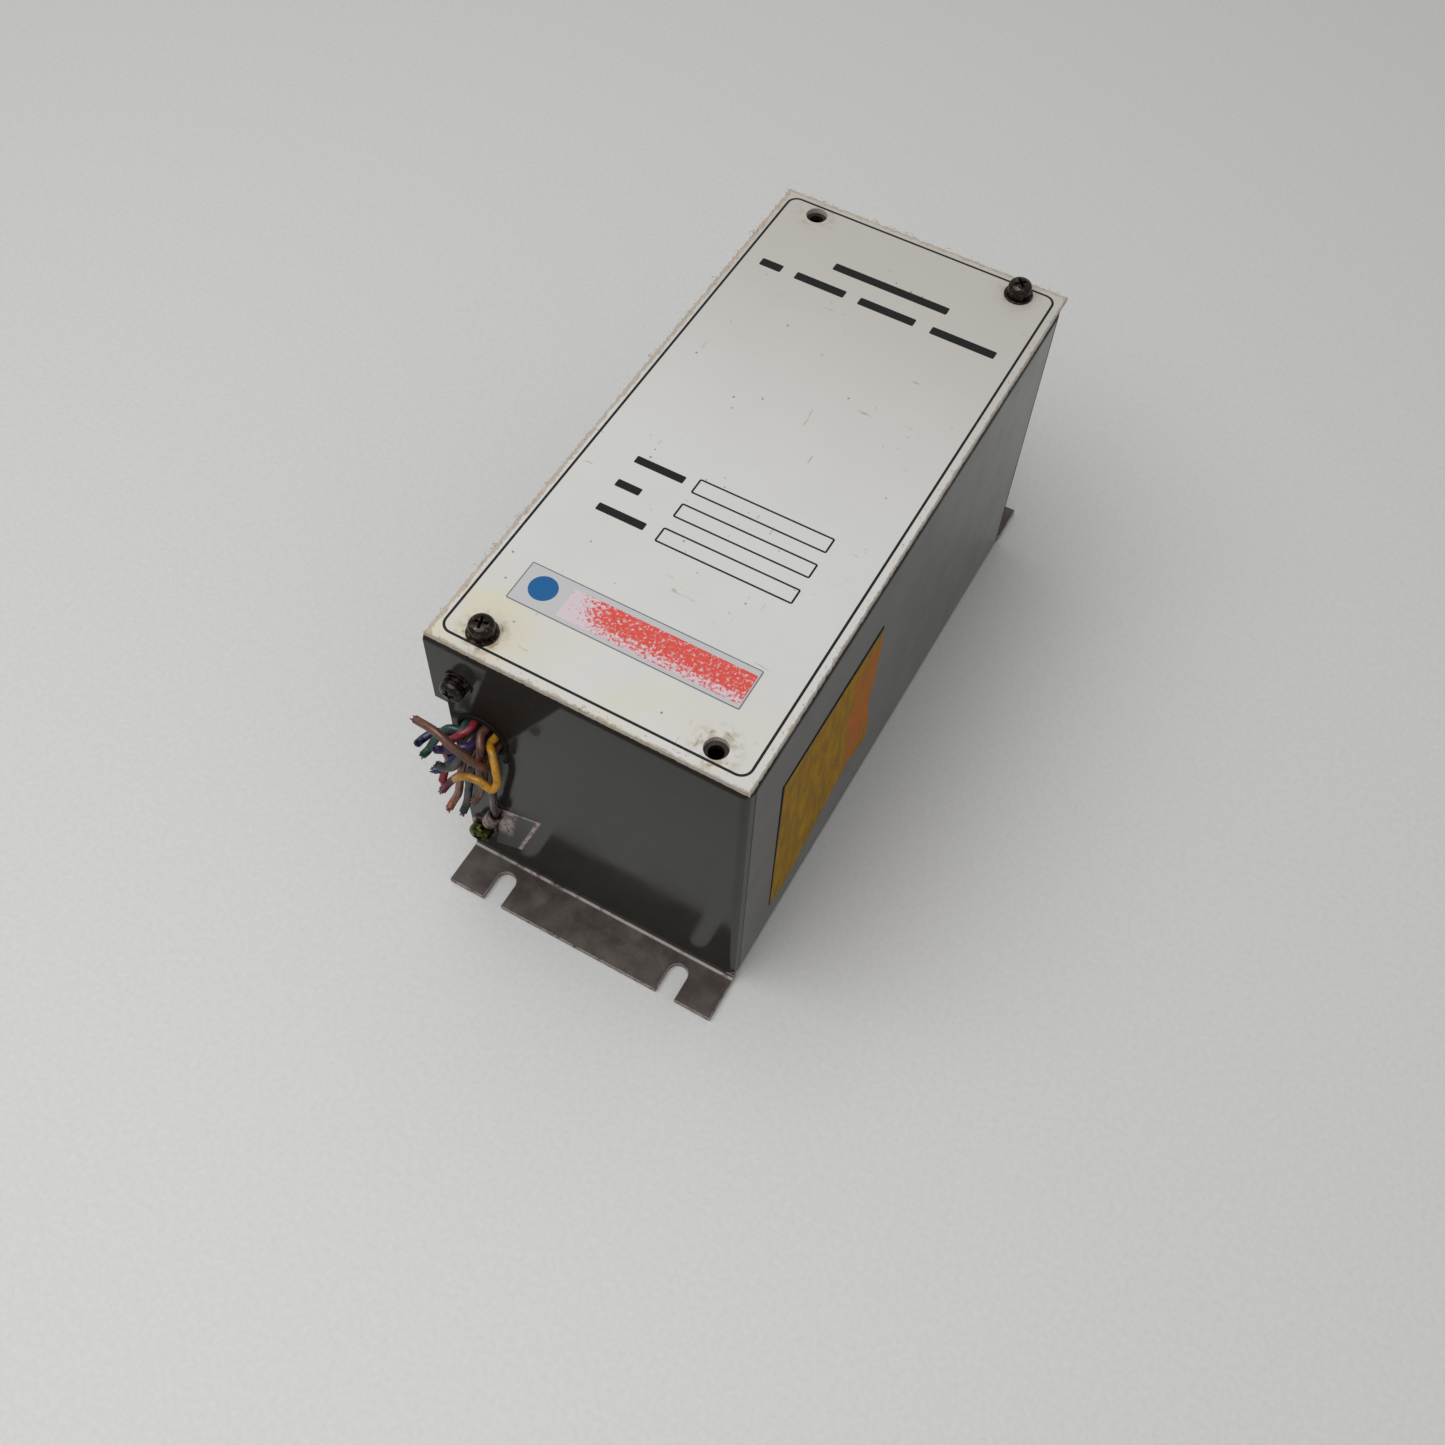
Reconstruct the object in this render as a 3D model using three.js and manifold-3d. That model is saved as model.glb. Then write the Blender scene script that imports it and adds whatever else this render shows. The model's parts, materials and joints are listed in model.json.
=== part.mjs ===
// Solid state relay starter unit in a folded sheet-steel box.
//
// Millimetres, +Z up. The origin is on the floor plane, below the middle of the box: X runs across
// the box, Y runs along it. The front wall, with the wires, faces -Y.
import * as THREE from 'three';
import { mergeVertices } from 'three/addons/utils/BufferGeometryUtils.js';
import Module from 'manifold-3d';

const wasm = await Module();
wasm.setup();

// ---- driving dimensions ------------------------------------------------------------------------
const BODY_WIDTH = 78;
const BODY_LENGTH = 167;
const BODY_HEIGHT = 96.5;
const SHEET = 1.5;
const BEND = 2.5; // outside radius of every bend; the inside radius is BEND - SHEET
const FOOT_REACH = 12.5;
const SLOT_WIDTH = 5.5;
const SLOT_X = 26;
const SLOT_END = 3.2; // from the wall to the round end of a slot
const TOP_FLANGE = 12;
const SEAM = 2.7; // from the face of an end wall back to the corner seam
const SIDE_FLANGE = 10; // top flange of the right wall and of the left cover
const UPTURN = 16; // height of the chassis edge behind the left cover
const GAP = 0.3; // between pieces that lie against each other

const LID_WIDTH = 80;
const LID_LENGTH = 168;
const LID_THICKNESS = 1.5;
const LID_CENTRE = [-0.5, -0.75];
const LID_HOLE_SPACING = [57.5, 156];
const LID_HOLE_RADIUS = 2.8;

const SCREW_RADIUS = 1.5; // M3
const TAPPED_RADIUS = 1.8;
const HEAD_RADIUS = 3;
const HEAD_HEIGHT = 2.5;
const SPRING_WASHER = 1;
const FLAT_WASHER = 0.6;
const FLAT_WASHER_RADIUS = 3.7;
const WASHER_BORE = 1.7;

const COVER_SCREW_X = -34.5;
const UPPER_SCREW_Z = 81;
const LOWER_SCREW_Z = 15.5;
const TAB = { width: 5.5, halfHeight: 8 }; // tapped tab, measured from the cover screw

const EAR_REACH = 3.5;
const EAR_BOTTOM = 69.5;
const EAR_ROUND = 4.5;

const WIRE_HOLE = { x: -30, z: 63, radius: 6.6 };
const WIRE_RADIUS = 1;
const OUTER_RING = 4.55; // the wires pass the wall in two rings about the middle of the hole
const INNER_RING = 1.85;

const SPREADER = { width: 69, length: 140, thickness: 5 };
const MODULE = { width: 58, length: 45, base: 3, height: 20, screwX: 24, terminalX: 17, terminalY: 12 };
const MODULE_Y = { front: -30, rear: 30 };
const BOARD = { width: 70, front: -68, rear: 6, z: 52, thickness: 1.6 };
const POST_X = 31.5;
const POST_Y = [-62, 0];
const CONNECTOR = { halfWidth: 6.4, front: -66, rear: -54 }; // the wires end just short of its front

// ---- derived places ----------------------------------------------------------------------------
const HALF_WIDTH = BODY_WIDTH / 2;
const WALL_Y = BODY_LENGTH / 2; // outer face of the end walls
const FOOT_Y = WALL_Y + FOOT_REACH;
const FLANGE_Y = WALL_Y - TOP_FLANGE;
const LID_TOP = BODY_HEIGHT + LID_THICKNESS;
const LID_HOLES = [-1, 1].flatMap((sx) => [-1, 1].map((sy) => [
  LID_CENTRE[0] + (sx * LID_HOLE_SPACING[0]) / 2,
  LID_CENTRE[1] + (sy * LID_HOLE_SPACING[1]) / 2,
]));
const SPREADER_TOP = SHEET + SPREADER.thickness;
const BOARD_TOP = BOARD.z + BOARD.thickness;

// ---- materials ---------------------------------------------------------------------------------
const paint = { color: 0x44433f, roughness: 0.22, metalness: 0.3 };
const lidWhite = { color: 0xd6d6d2, roughness: 0.45, metalness: 0 };
const darkScrew = { color: 0x2c2724, roughness: 0.45, metalness: 0.8 };
const brass = { color: 0x8f8a35, roughness: 0.3, metalness: 0.9 };
const tinned = { color: 0xb08a80, roughness: 0.4, metalness: 0.9 };
const zinc = { color: 0xa9abad, roughness: 0.35, metalness: 0.9 };
const rubber = { color: 0x151515, roughness: 0.7, metalness: 0 };
const aluminium = { color: 0xb8babc, roughness: 0.4, metalness: 0.9 };
const blackPlastic = { color: 0x1c1c1e, roughness: 0.5, metalness: 0 };
const whitePlastic = { color: 0xdad7c8, roughness: 0.5, metalness: 0 };
const boardGreen = { color: 0x2f5a34, roughness: 0.5, metalness: 0 };

// ---- solids ------------------------------------------------------------------------------------
/** Leaves only positions, merges shared vertices and turns the faces outward. */
function closedGeometry(geometry) {
  const bare = geometry.clone();
  for (const name of Object.keys(bare.attributes)) {
    if (name !== 'position') bare.deleteAttribute(name);
  }
  const merged = mergeVertices(bare, 1e-4);
  const position = merged.attributes.position;
  const corners = [];
  const [a, b, c] = [new THREE.Vector3(), new THREE.Vector3(), new THREE.Vector3()];
  let volume = 0;
  for (let i = 0; i < merged.index.count; i += 3) {
    const ids = [0, 1, 2].map((k) => merged.index.getX(i + k));
    if (new Set(ids).size < 3) continue;
    [a, b, c].forEach((v, k) => v.fromBufferAttribute(position, ids[k]));
    volume += a.dot(b.clone().cross(c));
    corners.push(ids);
  }
  if (volume < 0) corners.forEach((ids) => ids.reverse());
  merged.setIndex(corners.flat());
  return merged;
}

function solid(geometry) {
  const merged = closedGeometry(geometry);
  return new wasm.Manifold(new wasm.Mesh({
    numProp: 3,
    vertProperties: Float32Array.from(merged.attributes.position.array),
    triVerts: Uint32Array.from(merged.index.array),
  }));
}

function geometryOf(manifold) {
  const { vertProperties, triVerts } = manifold.getMesh();
  const geometry = new THREE.BufferGeometry();
  geometry.setAttribute('position', new THREE.BufferAttribute(vertProperties, 3));
  geometry.setIndex(new THREE.BufferAttribute(triVerts, 1));
  return geometry;
}

/** An outline whose corners [x, y, radius] are rounded where a radius is given. */
function outline(corners, arcSteps = 3) {
  const points = [];
  corners.forEach(([x, y, radius = 0], i) => {
    const corner = new THREE.Vector2(x, y);
    if (!radius) {
      points.push(corner);
      return;
    }
    const neighbour = (step) => {
      const [nx, ny] = corners[(i + step + corners.length) % corners.length];
      return new THREE.Vector2(nx, ny).sub(corner).normalize();
    };
    const [back, ahead] = [neighbour(-1), neighbour(1)];
    const half = Math.acos(THREE.MathUtils.clamp(back.dot(ahead), -1, 1)) / 2;
    const reach = radius / Math.tan(half);
    const middle = back.clone().add(ahead).normalize();
    const centre = corner.clone().addScaledVector(middle, radius / Math.sin(half));
    const start = corner.clone().addScaledVector(back, reach).sub(centre);
    const turn = Math.PI - 2 * half;
    const sign = Math.sign(back.clone().negate().cross(ahead));
    for (let k = 0; k <= arcSteps; k += 1) {
      points.push(start.clone().rotateAround(new THREE.Vector2(), (sign * turn * k) / arcSteps).add(centre));
    }
  });
  return new THREE.Shape(points);
}

function circlePath(x, y, radius, sides = 16) {
  const points = [];
  for (let k = 0; k < sides; k += 1) {
    const angle = (2 * Math.PI * k) / sides;
    points.push(new THREE.Vector2(x + radius * Math.cos(angle), y + radius * Math.sin(angle)));
  }
  return new THREE.Shape(points);
}

const AXES = {
  x: [[0, 1, 0], [0, 0, 1], [1, 0, 0]], // outline in Y, Z
  y: [[1, 0, 0], [0, 0, 1], [0, -1, 0]], // outline in X, Z
  z: [[1, 0, 0], [0, 1, 0], [0, 0, 1]], // outline in X, Y
};

/** Extrudes an outline along an axis between two places on it. */
function prism(axis, shape, from, to) {
  const geometry = new THREE.ExtrudeGeometry(shape, { depth: to - from, bevelEnabled: false });
  const [u, v, w] = AXES[axis].map((row) => new THREE.Vector3(...row));
  geometry.applyMatrix4(new THREE.Matrix4().makeBasis(u, v, w));
  geometry.translate(...w.clone().multiplyScalar(axis === 'y' ? -to : from).toArray());
  return geometry;
}

function box([x0, x1], [y0, y1], [z0, z1]) {
  const geometry = new THREE.BoxGeometry(x1 - x0, y1 - y0, z1 - z0);
  return geometry.translate((x0 + x1) / 2, (y0 + y1) / 2, (z0 + z1) / 2);
}

/** Turns a profile of [radius, height] about the axis through the place given. */
function turned(profile, axis, [x, y, z], sides = 14) {
  const geometry = new THREE.LatheGeometry(profile.map(([r, h]) => new THREE.Vector2(r, h)), sides);
  if (axis === 'z') geometry.rotateX(Math.PI / 2);
  if (axis === '-y') geometry.rotateX(Math.PI);
  if (axis === 'x') geometry.rotateZ(-Math.PI / 2);
  return geometry.translate(x, y, z);
}

function cylinder(radius, from, to, axis, place, sides = 12) {
  return turned([[0, from], [radius, from], [radius, to], [0, to]], axis, place, sides);
}

function cut(body, ...tools) {
  return tools.reduce((rest, tool) => rest.subtract(solid(tool)), body);
}

const object = new THREE.Group();
object.name = 'solid_state_relay';

function add(name, shape, finish) {
  const geometry = shape instanceof THREE.BufferGeometry ? closedGeometry(shape) : geometryOf(shape);
  const mesh = new THREE.Mesh(geometry, new THREE.MeshStandardMaterial(finish));
  mesh.name = name;
  object.add(mesh);
}

// ---- sheet-metal box ---------------------------------------------------------------------------
/** An end wall at -Y: foot, wall, top flange and the right-hand corner bend, folded from one sheet. */
function endWall() {
  const inner = WALL_Y - SHEET;
  const rounded = solid(prism('x', outline([
    [-WALL_Y, 0], [-FLANGE_Y, 0], [-FLANGE_Y, BODY_HEIGHT], [-WALL_Y, BODY_HEIGHT, BEND],
  ]), -HALF_WIDTH, HALF_WIDTH))
    .intersect(solid(prism('z', outline([
      [-HALF_WIDTH, -WALL_Y], [HALF_WIDTH, -WALL_Y, BEND], [HALF_WIDTH, -FLANGE_Y], [-HALF_WIDTH, -FLANGE_Y],
    ]), 0, BODY_HEIGHT)))
    .intersect(solid(prism('y', outline([
      [-HALF_WIDTH, 0], [HALF_WIDTH, 0], [HALF_WIDTH, BODY_HEIGHT, BEND], [-HALF_WIDTH, BODY_HEIGHT],
    ]), -WALL_Y, -FLANGE_Y)));
  const shell = cut(
    rounded,
    box([-HALF_WIDTH - 1, HALF_WIDTH - SHEET], [-inner, 0], [-1, BODY_HEIGHT - SHEET]),
    box([HALF_WIDTH - 2 * SHEET, HALF_WIDTH + 1], [SEAM - WALL_Y, 0], [-1, BODY_HEIGHT - BEND]),
    box([-HALF_WIDTH - 1, HALF_WIDTH + 1], [-WALL_Y - 1, 0], [-1, BEND]),
  );
  const foot = solid(prism('x', outline([
    [-FOOT_Y, 0], [-inner, 0, BEND], [-inner, BEND + GAP], [-WALL_Y, BEND + GAP],
    [-WALL_Y, SHEET, BEND - SHEET], [-FOOT_Y, SHEET],
  ]), -HALF_WIDTH, HALF_WIDTH));
  const slots = [-SLOT_X, SLOT_X].map((x) => {
    const end = -WALL_Y - SLOT_END - SLOT_WIDTH / 2;
    const shape = new THREE.Shape();
    shape.moveTo(x - SLOT_WIDTH / 2, -FOOT_Y - 1);
    shape.lineTo(x + SLOT_WIDTH / 2, -FOOT_Y - 1);
    shape.absarc(x, end, SLOT_WIDTH / 2, 0, Math.PI);
    return prism('z', shape, -1, SHEET + 1);
  });
  const coverHoles = [LOWER_SCREW_Z, UPPER_SCREW_Z].map((z) => (
    cylinder(TAPPED_RADIUS, -SHEET - 1, 1, '-y', [COVER_SCREW_X, -WALL_Y, z])
  ));
  return cut(shell.add(foot), ...slots, ...coverHoles);
}

function lidHoleTools(side) {
  return LID_HOLES.filter(([, y]) => y * side > 0).map(([x, y]) => (
    cylinder(TAPPED_RADIUS, -SHEET - 1, 1, 'z', [x, y, BODY_HEIGHT])
  ));
}

/** The ear that widens the front wall beside the upper cover screw. */
function ear() {
  const face = solid(prism('y', outline([
    [1 - HALF_WIDTH, EAR_BOTTOM], [1 - HALF_WIDTH, BODY_HEIGHT],
    [-HALF_WIDTH - EAR_REACH, BODY_HEIGHT, EAR_ROUND], [-HALF_WIDTH - EAR_REACH, EAR_BOTTOM],
  ]), -WALL_Y, SHEET - WALL_Y));
  return face.intersect(solid(prism('x', outline([
    [-WALL_Y, 0], [0, 0], [0, BODY_HEIGHT], [-WALL_Y, BODY_HEIGHT, BEND],
  ]), -BODY_WIDTH, 0)));
}

const frontWall = cut(
  endWall().add(ear()),
  cylinder(WIRE_HOLE.radius, -SHEET - 1, 1, '-y', [WIRE_HOLE.x, -WALL_Y, WIRE_HOLE.z], 20),
  ...lidHoleTools(-1),
);
add('front_wall', frontWall, paint);
add('rear_wall', cut(endWall().mirror([0, 1, 0]), ...lidHoleTools(1)), paint);

/** Base and right side wall in one sheet, with a low upturned edge on the left. */
function chassis() {
  const left = -HALF_WIDTH + SHEET + GAP;
  const length = WALL_Y - SEAM - GAP;
  const body = solid(prism('y', outline([
    [left, UPTURN], [left, 0, BEND], [HALF_WIDTH, 0, BEND], [HALF_WIDTH, BODY_HEIGHT, BEND],
    [HALF_WIDTH - SIDE_FLANGE, BODY_HEIGHT], [HALF_WIDTH - SIDE_FLANGE, BODY_HEIGHT - SHEET],
    [HALF_WIDTH - SHEET, BODY_HEIGHT - SHEET, BEND - SHEET], [HALF_WIDTH - SHEET, SHEET, BEND - SHEET],
    [left + SHEET, SHEET, BEND - SHEET], [left + SHEET, UPTURN],
  ]), -length, length));
  const tabY = WALL_Y - 9; // the upturned edge stops short of the screw ends
  const tabX = COVER_SCREW_X + TAB.width + 1.5;
  const notches = [-1, 1].flatMap((side) => {
    const top = [side * (FLANGE_Y - GAP), side * WALL_Y].sort((p, q) => p - q);
    const tab = [side * tabY, side * WALL_Y].sort((p, q) => p - q);
    return [
      box([0, BODY_WIDTH], top, [BODY_HEIGHT - BEND - GAP, BODY_HEIGHT + 1]),
      box([-BODY_WIDTH, tabX], tab, [SHEET + 1, UPTURN + 1]),
    ];
  });
  return cut(body, ...notches);
}
add('chassis', chassis(), paint);

/** Removable left wall with a top flange and four tapped tabs behind the end walls. */
function sideCover() {
  const length = WALL_Y - SHEET - GAP;
  const inside = SHEET - HALF_WIDTH;
  const panel = solid(prism('y', outline([
    [-HALF_WIDTH, 0], [inside, 0], [inside, BODY_HEIGHT - SHEET, BEND - SHEET],
    [SIDE_FLANGE - HALF_WIDTH, BODY_HEIGHT - SHEET], [SIDE_FLANGE - HALF_WIDTH, BODY_HEIGHT],
    [-HALF_WIDTH, BODY_HEIGHT, BEND],
  ]), GAP - FLANGE_Y, FLANGE_Y - GAP));
  const full = solid(box([-HALF_WIDTH, inside], [-length, length], [0, BODY_HEIGHT - SHEET - GAP]));
  let cover = panel.add(full);
  for (const side of [-1, 1]) {
    for (const z of [LOWER_SCREW_Z, UPPER_SCREW_Z]) {
      const ends = [side * length, side * (length - SHEET)].sort((p, q) => p - q);
      const across = [inside - GAP, COVER_SCREW_X + TAB.width];
      cover = cover.add(solid(box(across, ends, [z - TAB.halfHeight, z + TAB.halfHeight])));
      cover = cut(cover, cylinder(TAPPED_RADIUS, -3, 3, '-y', [COVER_SCREW_X, side * length, z]));
    }
  }
  return cover;
}
add('left_side_cover', sideCover(), paint);

// ---- lid ---------------------------------------------------------------------------------------
const lidShape = outline([[-1, -1], [1, -1], [1, 1], [-1, 1]].map(([sx, sy]) => [
  LID_CENTRE[0] + (sx * LID_WIDTH) / 2,
  LID_CENTRE[1] + (sy * LID_LENGTH) / 2,
]));
lidShape.holes = LID_HOLES.map(([x, y]) => circlePath(x, y, LID_HOLE_RADIUS));
add('lid_plate', prism('z', lidShape, BODY_HEIGHT, LID_TOP), lidWhite);

// ---- screws ------------------------------------------------------------------------------------
/** A pan-head screw. Its head rests at the stand-off above the place, and its shank points down. */
function plainScrew(shank, axis, place, standOff) {
  const rim = HEAD_HEIGHT * 0.55;
  return solid(turned([
    [0, standOff - shank], [SCREW_RADIUS, standOff - shank], [SCREW_RADIUS, standOff],
    [HEAD_RADIUS, standOff], [HEAD_RADIUS, standOff + rim],
    [HEAD_RADIUS * 0.87, standOff + HEAD_HEIGHT * 0.85],
    [HEAD_RADIUS * 0.5, standOff + HEAD_HEIGHT], [0, standOff + HEAD_HEIGHT],
  ], axis, place));
}

/** A pan-head screw with a cross recess. */
function panScrew(shank, axis, place, standOff) {
  const RECESS = { depth: 1.3, arm: HEAD_RADIUS * 0.6, halfWidth: 0.4 };
  const top = standOff + HEAD_HEIGHT;
  const bars = [[RECESS.arm, RECESS.halfWidth], [RECESS.halfWidth, RECESS.arm]].map(([u, v]) => {
    const bar = box([-u, u], [-v, v], [top - RECESS.depth, top + 1]);
    if (axis === '-y') bar.rotateX(Math.PI / 2);
    if (axis === 'y') bar.rotateX(-Math.PI / 2);
    return bar.translate(...place);
  });
  return cut(plainScrew(shank, axis, place, standOff), ...bars);
}

function washer(inner, outer, from, to, axis, place) {
  return turned([[inner, from], [outer, from], [outer, to], [inner, to], [inner, from]], axis, place);
}

function flatWasher(axis, place) {
  return washer(WASHER_BORE, FLAT_WASHER_RADIUS, 0, FLAT_WASHER, axis, place);
}

function springWasher(from, axis, place) {
  const ring = solid(washer(WASHER_BORE, HEAD_RADIUS, from, from + SPRING_WASHER, axis, place));
  const split = box([0.5, HEAD_RADIUS + 1], [-0.3, 0.3], [from - 1, from + SPRING_WASHER + 1]);
  if (axis === '-y') split.rotateX(Math.PI / 2);
  return cut(ring, split.translate(...place));
}

// Only two of the lid's four screws are left; the other two holes are empty.
for (const [end, [x, y]] of Object.entries({ front_left: LID_HOLES[0], rear_right: LID_HOLES[3] })) {
  const place = [x, y, LID_TOP];
  add(`lid_flat_washer_${end}`, flatWasher('z', place), darkScrew);
  add(`lid_spring_washer_${end}`, springWasher(FLAT_WASHER, 'z', place), darkScrew);
  add(`lid_screw_${end}`, panScrew(8, 'z', place, FLAT_WASHER + SPRING_WASHER), darkScrew);
}

// The left cover is held by two screws in each end wall; the ground screw is the fourth of them.
const upperScrew = [COVER_SCREW_X, -WALL_Y, UPPER_SCREW_Z];
add('cover_flat_washer_front', flatWasher('-y', upperScrew), darkScrew);
add('cover_spring_washer_front', springWasher(FLAT_WASHER, '-y', upperScrew), darkScrew);
add('cover_screw_front', panScrew(6.5, '-y', upperScrew, FLAT_WASHER + SPRING_WASHER), darkScrew);

for (const [height, z] of Object.entries({ lower: LOWER_SCREW_Z, upper: UPPER_SCREW_Z })) {
  add(`cover_screw_rear_${height}`, panScrew(5, 'y', [COVER_SCREW_X, WALL_Y, z], 0), darkScrew);
}

// ---- ground terminal ---------------------------------------------------------------------------
const groundScrew = [COVER_SCREW_X, -WALL_Y, LOWER_SCREW_Z];
const TERMINAL = { sheet: 0.8, radius: 3.8, neck: 1.6 };
const BARREL = { distance: 8.5, length: 6.5, radius: 2, bore: 1.4, floor: 0.8, tilt: 0.4, standOff: 2.1 };

/** A crimp ring terminal: a flat ring with a barrel that points up and to the right. */
function ringTerminal() {
  const [x, y, z] = groundScrew;
  const barrelFoot = [0, -BARREL.standOff, BARREL.distance];
  const blank = solid(cylinder(TERMINAL.radius, 0, TERMINAL.sheet, '-y', [0, 0, 0], 16))
    .add(solid(box([-TERMINAL.neck, TERMINAL.neck], [-TERMINAL.sheet, 0], [0, BARREL.distance + 1])));
  const barrel = solid(cylinder(BARREL.radius, 0, BARREL.length, 'z', barrelFoot));
  const eye = cylinder(WASHER_BORE, -1, 2, '-y', [0, 0, 0]);
  const bore = cylinder(BARREL.bore, BARREL.floor, BARREL.length + 1, 'z', barrelFoot);
  const terminal = cut(blank.add(barrel), eye, bore);
  return geometryOf(terminal).rotateY(BARREL.tilt).translate(x, y, z);
}
add('ground_ring_terminal', ringTerminal(), tinned);
add('ground_spring_washer', springWasher(TERMINAL.sheet, '-y', groundScrew), darkScrew);
add('ground_screw', panScrew(7, '-y', groundScrew, TERMINAL.sheet + SPRING_WASHER), brass);

// ---- wires -------------------------------------------------------------------------------------
/** A thin-lipped edging: a lip outside the wall, a groove for the sheet and a wider lip inside. */
const EDGING = { bore: 5.8, outside: 7, inside: 7.1, lip: 0.6, rear: 1.2 };
const groove = WIRE_HOLE.radius - 0.2;
const grommet = turned([
  [EDGING.bore, -SHEET - EDGING.rear], [EDGING.inside, -SHEET - EDGING.rear], [EDGING.inside, -SHEET - 0.1],
  [groove, -SHEET - 0.1], [groove, 0.1], [EDGING.outside, 0.1], [EDGING.outside - 0.2, EDGING.lip],
  [EDGING.bore + 0.2, EDGING.lip + 0.1], [EDGING.bore, EDGING.lip - 0.2], [EDGING.bore, -SHEET - EDGING.rear],
], '-y', [WIRE_HOLE.x, -WALL_Y, WIRE_HOLE.z], 18);
add('cable_grommet', grommet, rubber);

// Each wire leaves the grommet at its own place, [ring radius, degrees from +X], and then follows its
// own points to the cut end. The points are [x, y, z] in the part's frame.
const wires = {
  yellow: [0xc9961f, OUTER_RING, 30, [
    [-24, -88.2, 65.8], [-21.8, -90.5, 63.8], [-20.8, -92, 60.4], [-21.9, -92.8, 58.3], [-25, -93.2, 60.2],
    [-29, -93.6, 59.4], [-31.9, -93.4, 55.6]]],
  brown: [0x6a3f2d, OUTER_RING, 70, [
    [-26.9, -88.8, 66], [-26.9, -90.2, 60], [-26.9, -90.4, 52], [-28.2, -90.6, 47], [-28.8, -92.1, 45.6]]],
  red: [0xb02a3c, OUTER_RING, 110, [
    [-33.2, -88.2, 66.2], [-36, -89.6, 62.4], [-37.4, -89, 56.5], [-37.9, -88.2, 51.6],
    [-39.1, -89.1, 46.6], [-38.8, -91, 44.8]]],
  green: [0x1f6b55, OUTER_RING, 150, [
    [-36.9, -87.2, 65], [-39.6, -88.9, 60.9], [-41, -91, 57.4], [-41.2, -92.8, 57.6]]],
  navy: [0x27305f, OUTER_RING, 190, [
    [-38.4, -86.2, 60.6], [-42, -87, 58.8], [-43.6, -89.4, 58], [-43.4, -91.4, 59]]],
  blue: [0x2c3f86, OUTER_RING, 230, [
    [-34.6, -89.2, 57.4], [-36.4, -92, 54.4], [-38.2, -93.4, 54.2]]],
  maroon: [0x6d2030, OUTER_RING, 270, [
    [-31, -87, 54.2], [-35.4, -87, 46], [-39.4, -88.4, 39.6], [-40.2, -90.4, 38.2]]],
  ground: [0x4a332b, OUTER_RING, 310, [
    [-26.8, -87.6, 52], [-26.6, -87.6, 44], [-28, -86.4, 35]]],
  stiff_brown: [0x6f4433, OUTER_RING, 350, [
    [-24.4, -90.2, 62.4], [-26.6, -92.4, 66.2], [-31, -92.9, 69.4], [-36, -92.3, 71.4],
    [-42.2, -91.5, 70.6]]],
  purple: [0x5a3a8c, INNER_RING, 45, [
    [-30.4, -90.2, 66.2], [-33.2, -91.6, 64.8], [-35.2, -92.2, 64], [-36, -93.4, 65.2]]],
  grey: [0x5c5f58, INNER_RING, 135, [
    [-31.2, -90.4, 62.6], [-32.2, -92.8, 60], [-34.4, -93.6, 58.8], [-35.6, -94.4, 60.2]]],
  orange: [0xa85a35, INNER_RING, 225, [
    [-31.6, -89.6, 59], [-33.4, -90.2, 50], [-35.6, -90, 40], [-36.8, -91, 36.6], [-36.8, -92.8, 36]]],
  black: [0x1b1b1b, INNER_RING, 315, [
    [-29.5, -89.3, 57], [-31, -90.6, 48], [-32.4, -91, 39.6], [-32.6, -92.6, 37.8]]],
};

function wireTube(points) {
  const path = new THREE.CatmullRomCurve3(points.map((p) => new THREE.Vector3(...p)), false, 'centripetal');
  const steps = Math.round(path.getLength() / 3.2);
  return new THREE.ExtrudeGeometry(circlePath(0, 0, WIRE_RADIUS, 8), { steps, extrudePath: path });
}

for (const [name, [color, ring, degrees, route]] of Object.entries(wires)) {
  const angle = THREE.MathUtils.degToRad(degrees);
  const x = WIRE_HOLE.x + ring * Math.cos(angle);
  const z = WIRE_HOLE.z + ring * Math.sin(angle);
  const straight = [CONNECTOR.front - GAP, 5 - WALL_Y, -WALL_Y, -WALL_Y - 2.5].map((y) => [x, y, z]);
  const last = [];
  if (name === 'ground') {
    const barrelTop = new THREE.Vector3(0, -BARREL.standOff, BARREL.distance + BARREL.length);
    const barrelFoot = barrelTop.clone().setZ(BARREL.distance + 2);
    for (const point of [barrelTop, barrelFoot]) {
      const turnedPoint = point.applyAxisAngle(new THREE.Vector3(0, 1, 0), BARREL.tilt);
      last.push(turnedPoint.add(new THREE.Vector3(...groundScrew)).toArray());
    }
  }
  add(`wire_${name}`, wireTube([...straight, ...route, ...last]), { color, roughness: 0.5, metalness: 0 });
}

// ---- power section -----------------------------------------------------------------------------
/** The plain cylinder that a tapped or clearance hole takes out of an inner piece. */
function hole(radius, x, y, from, to) {
  return cylinder(radius, from, to, 'z', [x, y, 0]);
}

const spreader = cut(
  solid(box(
    [-SPREADER.width / 2, SPREADER.width / 2],
    [-SPREADER.length / 2, SPREADER.length / 2],
    [SHEET, SPREADER_TOP],
  )),
  ...Object.values(MODULE_Y).flatMap((y) => [-MODULE.screwX, MODULE.screwX].map((x) => (
    hole(TAPPED_RADIUS, x, y, SPREADER_TOP - 4, SPREADER_TOP + 1)
  ))),
);
add('heat_spreader', spreader, aluminium);

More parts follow.
